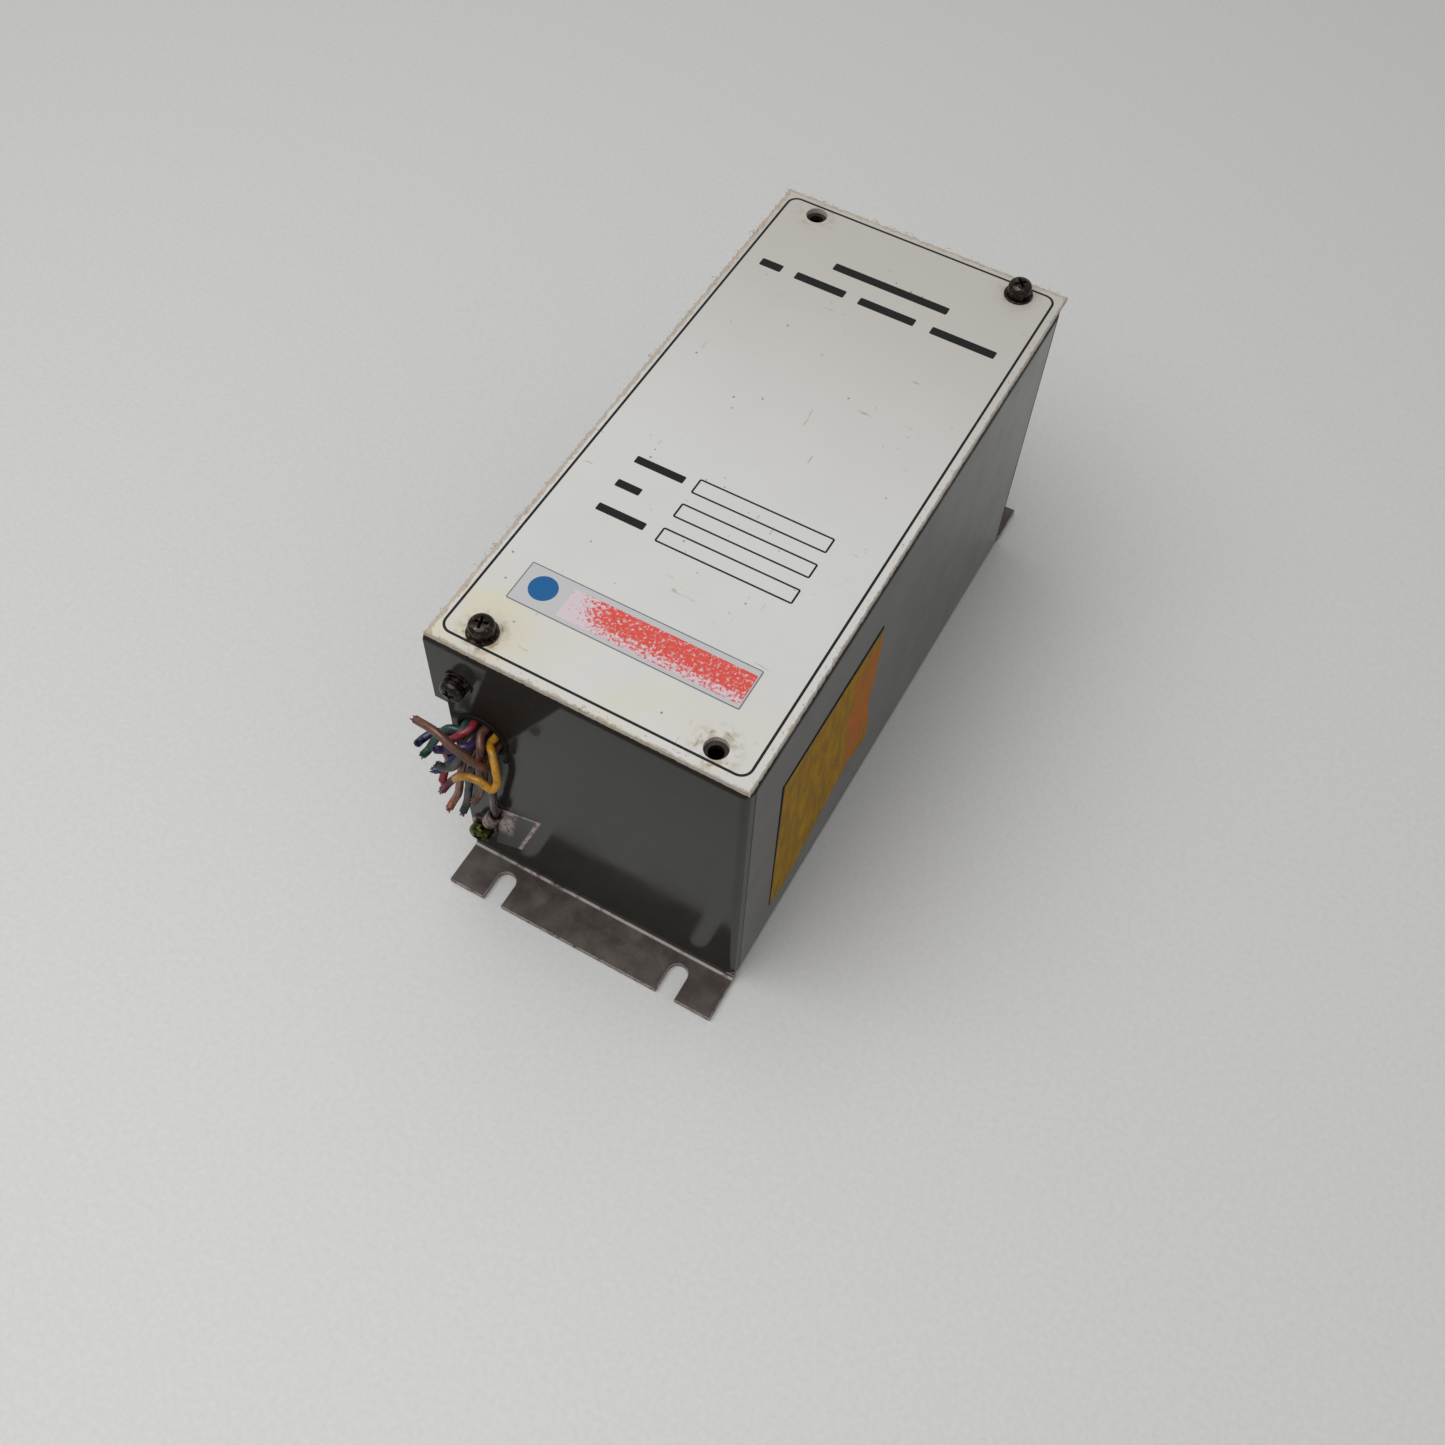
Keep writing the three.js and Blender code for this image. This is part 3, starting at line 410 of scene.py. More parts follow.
def insulation(name, color):
    """Wire insulation with handling grime, painted shade on its undersides, dust on top and a soft shine."""
    s = Shader(name + "_insulation")
    grime = s.step(s.noise(2.2, detail=5, rough=0.65), 0.38, 0.64)
    # Painted shade: whatever faces down is darkened in the same colour as the grime.
    grime = s.greater(grime, s.step(s.facing_up(), 0.1, -0.5))
    soiled = tuple(c * 0.22 + 0.006 for c in color)
    tone = s.mix(s.times(grime, 0.8), tuple(c * 0.65 for c in color), soiled)
    dust = s.step(s.noise(1.3, detail=5, shift=6), 0.45, 0.72)
    dust = s.times(s.step(s.facing_up(), 0.2, 0.9), dust)
    tone = s.mix(s.times(dust, 0.07), tone, (0.36, 0.31, 0.27))
    return s.done(color=tone, rough=s.step(s.noise(1.6, shift=2), 0.3, 0.7, 0.26, 0.48),
                  normal=s.bump(s.noise(0.8, detail=4), 0.05, 0.6))


def ink(name, color, worn=0.12):
    """Screen-printed ink, a little worn through."""
    s = Shader(name)
    gap = s.step(s.noise(0.7, detail=5, rough=0.7), 0.66, 0.74)
    tone = s.mix(s.times(gap, worn), color, (0.45, 0.44, 0.41))
    return s.done(color=tone, rough=0.42, specular=0.2, normal=s.bump(s.noise(0.4), 0.01, 0.5))


def wall_label():
    """An aged ochre paper label: streaked, with an orange band at its rear and a dark front and top."""
    s = Shader("ochre_label_paper")
    front, top = LABEL_OUTLINE[0]
    streak = s.noise(3.2, detail=6, rough=0.65, stretch=(1, 1, 0.4))
    tone = s.mix(s.step(streak, 0.3, 0.7), (0.21, 0.112, 0.008), (0.36, 0.200, 0.014))
    rear = s.plus(s.y, s.times(s.noise(5, detail=4, shift=31), 6.0))
    band = s.times(s.step(rear, -28, -23), s.step(s.z, 20, 32))
    band = s.times(band, s.step(s.z, 71, 62))
    orange = s.times(band, s.step(s.noise(6, detail=5, shift=2), 0.30, 0.55))
    tone = s.mix(s.times(orange, 0.75), tone, (0.42, 0.105, 0.028))
    rim = s.lesser(s.minus(s.y, front), s.minus(top, s.z))
    tone = s.mix(s.step(rim, 1.0, 0.6), tone, (0.012, 0.009, 0.007))
    grime = s.step(s.noise(1.5, detail=6, rough=0.75, stretch=(1, 1, 0.5), shift=7), 0.58, 0.68)
    tone = s.mix(s.times(grime, 0.6), tone, (0.05, 0.035, 0.02))
    return s.done(color=tone, rough=s.step(streak, 0.3, 0.7, 0.6, 0.85), specular=0.12,
                  normal=s.bump(streak, 0.08, 0.6))


def red_band():
    """The sticker's red band, rubbed through to the pale film below."""
    s = Shader("worn_red_print")
    left = s.step(s.x, STICKER_X[0] + 24, STICKER_X[0] + 9, 0, 0.24)
    lower = s.step(s.y, STICKER_Y[0] + 5.5, STICKER_Y[0] + 1.5, 0, 0.10)
    rubbed = s.plus(s.noise(0.9, detail=6, rough=0.75), s.plus(left, lower))
    rubbed = s.step(rubbed, 0.53, 0.61)
    color = s.mix(rubbed, (0.52, 0.046, 0.030), (0.48, 0.41, 0.44))
    return s.done(color=color, rough=0.4, normal=s.bump(rubbed, 0.02, 0.4))


def board_mask():
    """Green board with darker tracks under the mask and a few bare pads."""
    s = Shader("board_solder_mask")
    tracks = s.step(s.cells(5.2, feature="DISTANCE_TO_EDGE"), 0.10, 0.07)
    green = s.mix(tracks, (0.016, 0.085, 0.028), (0.045, 0.17, 0.055))
    pads = s.step(s.cells(4.1), 0.13, 0.10)
    color = s.mix(pads, green, (0.55, 0.54, 0.50))
    return s.done(color=color, rough=s.mix(pads, (0.28, 0.28, 0.28), (0.4, 0.4, 0.4)), metal=pads,
                  normal=s.bump(s.plus(tracks, pads), 0.03, 0.6))


def winding_tape():
    s = Shader("winding_tape")
    wrap = s.noise(0.45, detail=1, stretch=(0.05, 0.05, 1))
    color = s.mix(wrap, (0.30, 0.10, 0.035), (0.50, 0.20, 0.07))
    return s.done(color=color, rough=0.35, normal=s.bump(wrap, 0.15, 0.8))


def core_laminations():
    s = Shader("core_laminations")
    layer = s.noise(0.5, detail=0, stretch=(0.02, 1, 0.02))
    color = s.mix(s.step(layer, 0.4, 0.6), (0.10, 0.095, 0.09), (0.30, 0.29, 0.28))
    return s.done(color=color, rough=0.45, metal=0.9, normal=s.bump(layer, 0.1, 0.8))


def fuse_glass():
    """Clear tube between two metal caps."""
    s = Shader("fuse_glass_and_caps")
    centre = middle("fuse")
    cap = s.step(s.size_of(s.minus(s.x, centre.x)), 4.7, 4.9)
    color = s.mix(cap, (0.80, 0.82, 0.80), (0.62, 0.60, 0.56))
    rough = s.step(cap, 0, 1, 0.05, 0.3)
    return s.done(color=color, rough=rough, metal=cap, clear=s.step(cap, 0, 1, 0.9, 0))


# ---- meshes --------------------------------------------------------------------------------------
def piece(name, mesh, materials, body, nodes=()):
    """Adds a mesh that is already in the row frame, riding on a body, in place of the nodes named."""
    mesh.materials.clear()
    for material in materials:
        mesh.materials.append(material)
    obj = bpy.data.objects.new(name, mesh)
    scene.collection.objects.link(obj)
    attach(obj, body)
    if nodes:
        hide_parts(*nodes)
    return obj


def mesh_from(bm, name, smooth=40):
    """Turns a bmesh into a mesh that is smooth except over edges sharper than the angle given."""
    bmesh.ops.recalc_face_normals(bm, faces=bm.faces)
    mesh = bpy.data.meshes.new(name)
    bm.to_mesh(mesh)
    bm.free()
    mesh.shade_smooth()
    mesh.set_sharp_from_angle(angle=math.radians(smooth))
    return mesh


def apply_modifiers(obj):
    """Replaces an object's mesh with what its modifiers make of it."""
    bpy.context.view_layer.update()
    depsgraph = bpy.context.evaluated_depsgraph_get()
    mesh = bpy.data.meshes.new_from_object(obj.evaluated_get(depsgraph), depsgraph=depsgraph)
    obj.modifiers.clear()
    obj.data = mesh


def refined(node, materials, width=0.2, segments=2, smooth=40):
    """A copy of a CAD node with rounded edges; a second material goes on the rounded edges."""
    bm = bmesh.new()
    bm.from_mesh(frame["nodes"][node].data)
    for layer in list(bm.loops.layers.uv):
        bm.loops.layers.uv.remove(layer)
    bmesh.ops.remove_doubles(bm, verts=bm.verts, dist=0.002 * MM)
    bmesh.ops.dissolve_limit(bm, angle_limit=math.radians(0.5), verts=bm.verts, edges=bm.edges)
    for face in bm.faces:
        face.material_index = 0
    mesh = mesh_from(bm, node + "_detailed", smooth)
    if "custom_normal" in mesh.attributes:
        mesh.attributes.remove(mesh.attributes["custom_normal"])
    obj = piece(node + "_detailed", mesh, materials, BODY[node], [node])
    bevel = obj.modifiers.new("edges", "BEVEL")
    bevel.width = width * MM
    bevel.segments = segments
    bevel.limit_method = "ANGLE"
    bevel.angle_limit = math.radians(smooth)
    bevel.material = len(materials) - 1
    flat = obj.modifiers.new("flat_faces", "WEIGHTED_NORMAL")
    flat.weight = 100
    flat.keep_sharp = True
    apply_modifiers(obj)


def lathe(profile, sides=48):
    """A bmesh turned about Z from pairs of radius and height.

    The pairs start and end on the axis, or else they are closed into a ring.
    """
    bm = bmesh.new()
    rings = []
    for radius, height in profile:
        if radius == 0:
            rings.append([bm.verts.new((0, 0, height * MM))])
            continue
        turns = [2 * math.pi * k / sides for k in range(sides)]
        rings.append([bm.verts.new((radius * math.cos(t) * MM, radius * math.sin(t) * MM, height * MM))
                      for t in turns])
    if len(rings[0]) > 1:
        rings.append(rings[0])
    for one, other in zip(rings, rings[1:]):
        for k in range(sides):
            j = (k + 1) % sides
            ring = [one[k % len(one)], one[j % len(one)], other[j % len(other)], other[k % len(other)]]
            bm.faces.new(list(dict.fromkeys(ring)))
    return bm


def stand(point, axis, turn=0.0):
    """The transform that puts a mesh made about +Z at a point, with +Z along the axis given."""
    tilt = {"z": Matrix.Identity(4), "-y": Matrix.Rotation(math.radians(90), 4, "X"),
            "y": Matrix.Rotation(math.radians(-90), 4, "X")}[axis]
    return Matrix.Translation(Vector(point) * MM) @ tilt @ Matrix.Rotation(turn, 4, "Z")


def drawn_in(outline, inset):
    """The outline with each point moved towards the middle, by the inset along both axes."""
    centre = sum((Vector(p) for p in outline), Vector((0, 0))) / len(outline)
    points = []
    for point in outline:
        away = Vector(point) - centre
        pull = [math.copysign(min(inset, abs(side)), side) for side in away]
        points.append(Vector(point) - Vector(pull))
    return points


def slab(outline, low, high, axes="xy", holes=(), chamfer=0.0):
    """A flat piece from an outline and its holes, between two heights on the axis that is left.

    The outer rim takes the second material.
    """
    place = {"xy": lambda u, v, w: (u, v, w), "yz": lambda u, v, w: (w, u, v)}[axes]
    heights = [(low, 0.0), (high, 0.0)]
    if chamfer:
        heights = [(low, 0.0), (high - chamfer, 0.0), (high, chamfer)]
    bm = bmesh.new()
    layers = []
    for height, inset in heights:
        loops = [drawn_in(outline, inset), *holes]
        layers.append([[bm.verts.new(Vector(place(u, v, height)) * MM) for u, v in loop] for loop in loops])
    fill = tessellate_polygon([[Vector((*p, 0)) for p in loop] for loop in (outline, *holes)])
    for rows in (layers[0], layers[-1]):
        verts = [v for row in rows for v in row]
        for triangle in fill:
            bm.faces.new([verts[i] for i in triangle])
    for one, other in zip(layers, layers[1:]):
        for k, (a, b) in enumerate(zip(one, other)):
            for i in range(len(a)):
                j = (i + 1) % len(a)
                face = bm.faces.new((a[i], a[j], b[j], b[i]))
                face.material_index = 1 if k == 0 else 0
    return bm


def circle(x, y, radius, sides=40):
    turns = [2 * math.pi * k / sides for k in range(sides)]
    return [(x + radius * math.cos(t), y + radius * math.sin(t)) for t in turns]


def rounded_rectangle(x, y, radius, steps=8):
    """Outline of the rectangle over the ranges x and y, with round corners."""
    left, right = x[0] + radius, x[1] - radius
    low, high = y[0] + radius, y[1] - radius
    points = []
    for turn, (cx, cy) in enumerate(((right, high), (left, high), (left, low), (right, low))):
        for k in range(steps + 1):
            angle = (turn + k / steps) * math.pi / 2
            points.append((cx + radius * math.cos(angle), cy + radius * math.sin(angle)))
    return points


# ---- housing -------------------------------------------------------------------------------------
LID_HOLE_SPACING = (57.5, 156)
LID_MIDDLE = middle("lid_plate")
LID_HOLES = [(LID_MIDDLE.x + sx * LID_HOLE_SPACING[0] / 2, LID_MIDDLE.y + sy * LID_HOLE_SPACING[1] / 2)
             for sx in (-1, 1) for sy in (-1, 1)]
STICKER_X = (-30.4, 27.7)
STICKER_Y = (-68.2, -57.0)
LABEL_OUTLINE = [
    (-66.3, 72.6), (-15.5, 73.2), (-14.3, 62.7), (-15.0, 52.0), (-16.3, 41.8), (-13.6, 30.0),
    (-12.3, 18.5), (-24.1, 23.5), (-33.0, 20.4), (-44.0, 15.6), (-56.8, 11.1), (-65.6, 12.2),
]

paint = enamel("grey_enamel", chipped=False)
chipped_paint = enamel("grey_enamel_chipped_edge", chipped=True)
for node in ("front_wall", "rear_wall", "chassis", "left_side_cover"):
    refined(node, [paint, chipped_paint], width=0.3)


def ragged_lid_outline():
    """The lid's outline, stepped finely and pulled in by an irregular amount along each side."""
    step = 0.7
    deepest = 2.2  # times the roughness of the side
    points = []
    sides = [  # start, end, inward, roughness
        (Vector((LID_LOW.x, LID_LOW.y)), Vector((LID_HIGH.x, LID_LOW.y)), Vector((0, 1)), 0.12),
        (Vector((LID_HIGH.x, LID_LOW.y)), Vector((LID_HIGH.x, LID_HIGH.y)), Vector((-1, 0)), 0.16),
        (Vector((LID_HIGH.x, LID_HIGH.y)), Vector((LID_LOW.x, LID_HIGH.y)), Vector((0, -1)), 0.45),
        (Vector((LID_LOW.x, LID_HIGH.y)), Vector((LID_LOW.x, LID_LOW.y)), Vector((1, 0)), 0.45),
    ]
    for start, end, inward, rough in sides:
        count = round((end - start).length / step)
        for k in range(count):
            depth = rough * abs(draw.gauss(0, 0.5)) * min(1, k, count - k)
            points.append(tuple(start.lerp(end, k / count) + inward * min(depth, deepest * rough)))
    return points


lid_paint = lid_coating()
raw_edge = lid_raw_edge()
hole_rims = [circle(x, y, LID_HOLE_RADIUS) for x, y in LID_HOLES]
lid = slab(ragged_lid_outline(), LID_LOW.z, LID_HIGH.z, holes=hole_rims, chamfer=0.25)
piece("lid_plate_detailed", mesh_from(lid, "lid", 30), [lid_paint, raw_edge], "lid", ["lid_plate"])


# ---- prints and stickers -------------------------------------------------------------------------
PRINT = 0.03  # thickness of the ink layers
black_ink = ink("black_print", (0.008, 0.007, 0.007))
TOP = LID_HIGH.z


def printed(name, outline, holes=(), base=TOP, thickness=PRINT, material=black_ink):
    mesh = mesh_from(slab(outline, base, base + thickness, holes=holes), name)
    return piece(name, mesh, [material, material], "lid")


def frame_line(name, x, y, width, radius):
    inner = rounded_rectangle((x[0] + width, x[1] - width), (y[0] + width, y[1] - width), radius - width)
    return printed(name, rounded_rectangle(x, y, radius), holes=[inner])


MARGIN = (2.0, 2.3)  # from the lid's edges to the printed border, along X and Y
frame_line("printed_border", (LID_LOW.x + MARGIN[0], LID_HIGH.x - MARGIN[0]),
           (LID_LOW.y + MARGIN[1], LID_HIGH.y - MARGIN[1]), width=0.62, radius=3.0)
FIELD_X = (-10.6, 24.4)
FIELDS = [  # each field's Y range, and the X range of the bar in place of its name
    ((-21.9, -17.1), (-26.5, -13.5)),
    ((-30.1, -25.5), (-26.7, -20.3)),
    ((-38.3, -33.7), (-26.8, -14.3)),
]
FIELD_BAR_HALF = 1.1
for k, (y, bar) in enumerate(FIELDS, 1):
    frame_line(f"printed_field_{k}", FIELD_X, y, width=0.46, radius=0.55)
    centre = (y[0] + y[1]) / 2
    bar_y = (centre - FIELD_BAR_HALF, centre + FIELD_BAR_HALF)
    printed(f"printed_field_bar_{k}", rounded_rectangle(bar, bar_y, 0.3))
HEADING = [  # each row's Y, and the X ranges of its bars
    (62.4, [(-16.5, 15.5)]),
    (54.4, [(-33.5, -27.5), (-23.5, -9.5), (-5.5, 10.0), (14.5, 32.0)]),
]
HEADING_BAR_HALF = 1.3
for row, (y, bars) in enumerate(HEADING, 1):
    for k, bar in enumerate(bars, 1):
        bar_y = (y - HEADING_BAR_HALF, y + HEADING_BAR_HALF)
        printed(f"printed_heading_bar_{row}_{k}", rounded_rectangle(bar, bar_y, 0.4))

film = ink("sticker_film", (0.40, 0.395, 0.40), worn=0.5)
FILM = 0.1
printed("sticker", rounded_rectangle(STICKER_X, STICKER_Y, 0.4), thickness=FILM, material=film)
OUTLINE = 0.22  # dark edge printed round the sticker's film
inner_edge = rounded_rectangle((STICKER_X[0] + OUTLINE, STICKER_X[1] - OUTLINE),
                               (STICKER_Y[0] + OUTLINE, STICKER_Y[1] - OUTLINE), 0.2)
printed("sticker_outline", rounded_rectangle(STICKER_X, STICKER_Y, 0.4), holes=[inner_edge], base=TOP + FILM,
        material=ink("sticker_edge_print", (0.10, 0.11, 0.13), worn=0.8))
band = rounded_rectangle((STICKER_X[0] + 12, STICKER_X[1] - 0.5),
                         (STICKER_Y[0] + 1.2, STICKER_Y[1] - 1.7), 0.3)
printed("sticker_red_band", band, base=TOP + FILM, material=red_band())
blue_ink = ink("blue_print", (0.008, 0.085, 0.23))
disc = circle(STICKER_X[0] + 5.9, (STICKER_Y[0] + STICKER_Y[1]) / 2 + 0.4, 3.4)
printed("sticker_blue_disc", disc, base=TOP + FILM, material=blue_ink)

PAPER = 0.12
label = mesh_from(slab(LABEL_OUTLINE, HALF_WIDTH, HALF_WIDTH + PAPER, axes="yz"), "wall_label")
label_paper = wall_label()
piece("wall_label", label, [label_paper, label_paper], "housing")


# ---- fasteners -----------------------------------------------------------------------------------
HEAD_HEIGHT = 2.5
HEAD_PROFILE = [
    (2.85, 0.0), (3.0, 0.15), (3.0, 1.15), (2.92, 1.55), (2.62, 2.05), (2.05, 2.36), (1.1, HEAD_HEIGHT),
    (0, HEAD_HEIGHT),
]
THREAD = {"pitch": 0.5, "outer": 1.48, "inner": 1.22, "runout": 0.35}
SPRING = {"thickness": 0.8, "rise": 0.2}
SPRING_HEIGHT = SPRING["thickness"] + SPRING["rise"]
RECESS = {"depth": 1.45, "top": (1.89, 0.396), "foot": (0.85, 0.216)}  # reach and half width of each arm
ABOVE_HEAD = 0.2  # how far the cutter stands out of the head


def cross_cutter():
    """A tapered cross that cuts the recess of a screw head."""
    bm = bmesh.new()
    rows = []
    for (arm, half), z in ((RECESS["foot"], HEAD_HEIGHT - RECESS["depth"]),
                           (RECESS["top"], HEAD_HEIGHT + ABOVE_HEAD)):
        quarter = [(arm, -half), (arm, half), (half, half)]
        row = []
        for k in range(4):
            turn = Matrix.Rotation(k * math.pi / 2, 2)
            row += [bm.verts.new((*(turn @ Vector(p) * MM), z * MM)) for p in quarter]
        rows.append(row)
    bm.faces.new(rows[0])
    bm.faces.new(rows[1])
    points = len(rows[0])
    for i in range(points):
        j = (i + 1) % points
        bm.faces.new((rows[0][i], rows[0][j], rows[1][j], rows[1][i]))
    return mesh_from(bm, "cross_cutter", 0)


def screw(node, axis, material):
    """A cross-recessed pan-head screw in the place of its CAD node. Returns the seat of its head."""
    low, high = corners(node)
    seat = (low + high) / 2
    if axis == "z":
        seat.z = high.z - HEAD_HEIGHT
        shank = seat.z - low.z
    elif axis == "y":
        seat.y = high.y - HEAD_HEIGHT
        shank = seat.y - low.y
    else:
        seat.y = low.y + HEAD_HEIGHT
        shank = high.y - seat.y
    profile = [(0, -shank)]
    steps = round((shank - 0.4) / THREAD["pitch"])
    for k in range(steps):
        z = -shank + k * THREAD["pitch"]
        profile += [(THREAD["inner"], z), (THREAD["outer"], z + THREAD["pitch"] / 2)]
    profile += [(THREAD["inner"], -THREAD["runout"]), (THREAD["outer"], -0.1), (THREAD["outer"], 0)]
    profile += HEAD_PROFILE
    obj = piece(node + "_detailed", mesh_from(lathe(profile), node, 35), [material], BODY[node], [node])
    cutter = bpy.data.objects.new("cutter", cross_cutter())
    scene.collection.objects.link(cutter)
    cut = obj.modifiers.new("recess", "BOOLEAN")
    cut.operation = "DIFFERENCE"
    cut.solver = "EXACT"
    cut.object = cutter
    apply_modifiers(obj)
    bpy.data.objects.remove(cutter)
    obj.data.transform(stand(seat, axis, draw.uniform(0, math.pi)))
    obj.data.set_sharp_from_angle(angle=math.radians(35))
    return seat


def lock_washer(node, axis, material, foot):
    """A split washer, one end standing a little above the other."""
    inner, outer = 1.75, 2.95
    steps = 44
    half_gap = 6  # degrees
    thickness = SPRING["thickness"]
    bm = bmesh.new()
    rows = []
    for k in range(steps + 1):
        share = k / steps
        angle = math.radians(half_gap + (360 - 2 * half_gap) * share)
        low = SPRING["rise"] * share
        section = [(inner, low), (outer, low), (outer, low + thickness), (inner, low + thickness)]
        rows.append([bm.verts.new((r * math.cos(angle) * MM, r * math.sin(angle) * MM, z * MM))
                     for r, z in section])
    bm.faces.new(rows[0])
    bm.faces.new(rows[-1])
    for one, other in zip(rows, rows[1:]):
        for i in range(4):
            j = (i + 1) % 4
            bm.faces.new((one[i], one[j], other[j], other[i]))
    obj = piece(node + "_detailed", mesh_from(bm, node), [material], BODY[node], [node])
    obj.data.transform(stand(foot, axis, draw.uniform(0, 2 * math.pi)))


def flat_washer(node, axis, material, foot, thickness=0.6):
    profile = [(1.75, 0.05), (1.8, 0), (3.62, 0), (3.7, 0.08), (3.7, thickness - 0.1), (3.6, thickness),
               (1.8, thickness), (1.75, thickness - 0.05)]
    obj = piece(node + "_detailed", mesh_from(lathe(profile), node), [material], BODY[node], [node])
    obj.data.transform(stand(foot, axis))


steel = screw_steel()
for end in ("front_left", "rear_right"):
    seat = screw(f"lid_screw_{end}", "z", steel)
    lock_washer(f"lid_spring_washer_{end}", "z", steel, (seat.x, seat.y, seat.z - SPRING_HEIGHT))
    flat_washer(f"lid_flat_washer_{end}", "z", steel, (seat.x, seat.y, LID_HIGH.z))

seat = screw("cover_screw_front", "-y", steel)
lock_washer("cover_spring_washer_front", "-y", steel, (seat.x, seat.y + SPRING_HEIGHT, seat.z))
flat_washer("cover_flat_washer_front", "-y", steel, (seat.x, FRONT_Y, seat.z))
for height in ("lower", "upper"):
    screw(f"cover_screw_rear_{height}", "y", steel)

olive_brass = metal("olive_brass", (0.105, 0.12, 0.028), (0.008, 0.009, 0.004), rough=(0.08, 0.22), size=1.8)
ground = screw("ground_screw", "-y", olive_brass)
lock_washer("ground_spring_washer", "-y", steel, (ground.x, ground.y + SPRING_HEIGHT, ground.z))
tinned = metal("tinned_copper", (0.36, 0.27, 0.25), (0.022, 0.015, 0.013), rough=(0.3, 0.6), size=1.6)
refined("ground_ring_terminal", [tinned], width=0.15)


# ---- wires ---------------------------------------------------------------------------------------
WIRE_HOLE = middle("cable_grommet")
RING = {"outer": 4.55, "inner": 1.85}
WIRE_RADIUS = 1.0
SLEEVE_BORE = 0.62
SLEEVE_DEPTH = 0.8  # how far the cut sleeve is open
STRANDS = {"around": 6, "radius": 0.17, "ring": 0.38}
BARREL = {"tilt": 0.4, "stand_off": 2.1, "top": 15.0, "wire_end": 10.5}  # of the ground terminal
CONNECTOR_FRONT = corners("harness_connector")[0].y
# name: insulation colour, ring in the hole, degrees from +X, then the route outside the wall
WIRES = {
    "yellow": ((0.64, 0.30, 0.010), "outer", 30, [
        (-24, -88.2, 65.8), (-21.8, -90.5, 63.8), (-20.8, -92, 60.4), (-21.9, -92.8, 58.3),
        (-25, -93.2, 60.2), (-29, -93.6, 59.4), (-31.9, -93.4, 55.6)]),
    "brown": ((0.17, 0.055, 0.030), "outer", 70, [
        (-26.9, -88.8, 66), (-26.9, -90.2, 60), (-26.9, -90.4, 52), (-28.2, -90.6, 47),
        (-28.8, -92.1, 45.6)]),
    "red": ((0.36, 0.014, 0.030), "outer", 110, [
        (-33.2, -88.2, 66.2), (-36, -89.6, 62.4), (-37.4, -89, 56.5), (-37.9, -88.2, 51.6),
        (-39.1, -89.1, 46.6), (-38.8, -91, 44.8)]),
    "green": ((0.008, 0.085, 0.060), "outer", 150, [
        (-36.9, -87.2, 65), (-39.6, -88.9, 60.9), (-41, -91, 57.4), (-41.2, -92.8, 57.6)]),
    "navy": ((0.014, 0.018, 0.075), "outer", 190, [
        (-38.4, -86.2, 60.6), (-42, -87, 58.8), (-43.6, -89.4, 58), (-43.4, -91.4, 59)]),
    "blue": ((0.018, 0.028, 0.15), "outer", 230, [
        (-34.6, -89.2, 57.4), (-36.4, -92, 54.4), (-38.2, -93.4, 54.2)]),
    "maroon": ((0.16, 0.014, 0.030), "outer", 270, [
        (-31, -87, 54.2), (-35.4, -87, 46), (-39.4, -88.4, 39.6), (-40.2, -90.4, 38.2)]),
    "ground": ((0.070, 0.034, 0.024), "outer", 310, [
        (-26.8, -87.6, 52), (-26.6, -87.6, 44), (-28, -86.4, 35)]),
    "stiff_brown": ((0.165, 0.060, 0.032), "outer", 350, [
        (-24.4, -90.2, 62.4), (-26.6, -92.4, 66.2), (-31, -92.9, 69.4), (-36, -92.3, 71.4),
        (-42.2, -91.5, 70.6)]),
    "purple": ((0.060, 0.022, 0.13), "inner", 45, [
        (-30.4, -90.2, 66.2), (-33.2, -91.6, 64.8), (-35.2, -92.2, 64), (-36, -93.4, 65.2)]),
    "grey": ((0.10, 0.095, 0.080), "inner", 135, [
        (-31.2, -90.4, 62.6), (-32.2, -92.8, 60), (-34.4, -93.6, 58.8), (-35.6, -94.4, 60.2)]),
    "orange": ((0.36, 0.10, 0.035), "inner", 225, [
        (-31.6, -89.6, 59), (-33.4, -90.2, 50), (-35.6, -90, 40), (-36.8, -91, 36.6), (-36.8, -92.8, 36)]),
    "black": ((0.012, 0.012, 0.012), "inner", 315, [
        (-29.5, -89.3, 57), (-31, -90.6, 48), (-32.4, -91, 39.6), (-32.6, -92.6, 37.8)]),
}


def smooth_path(points, step=0.5):
    """A centripetal Catmull-Rom curve through the points, in steps of about the length given."""
    knots = [Vector(p) for p in points]
    knots = [2 * knots[0] - knots[1], *knots, 2 * knots[-1] - knots[-2]]
    path = []
    for p0, p1, p2, p3 in zip(knots, knots[1:], knots[2:], knots[3:]):
        t0 = 0.0
        t1 = t0 + math.sqrt((p1 - p0).length)
        t2 = t1 + math.sqrt((p2 - p1).length)
        t3 = t2 + math.sqrt((p3 - p2).length)
        count = max(2, round((p2 - p1).length / step))
        for k in range(count):
            t = t1 + (t2 - t1) * k / count
            a1 = p0.lerp(p1, (t - t0) / (t1 - t0))
            a2 = p1.lerp(p2, (t - t1) / (t2 - t1))
            a3 = p2.lerp(p3, (t - t2) / (t3 - t2))
            b1 = a1.lerp(a2, (t - t0) / (t2 - t0))
            b2 = a2.lerp(a3, (t - t1) / (t3 - t1))
            path.append(b1.lerp(b2, (t - t1) / (t2 - t1)))
    path.append(knots[-2])
    return path


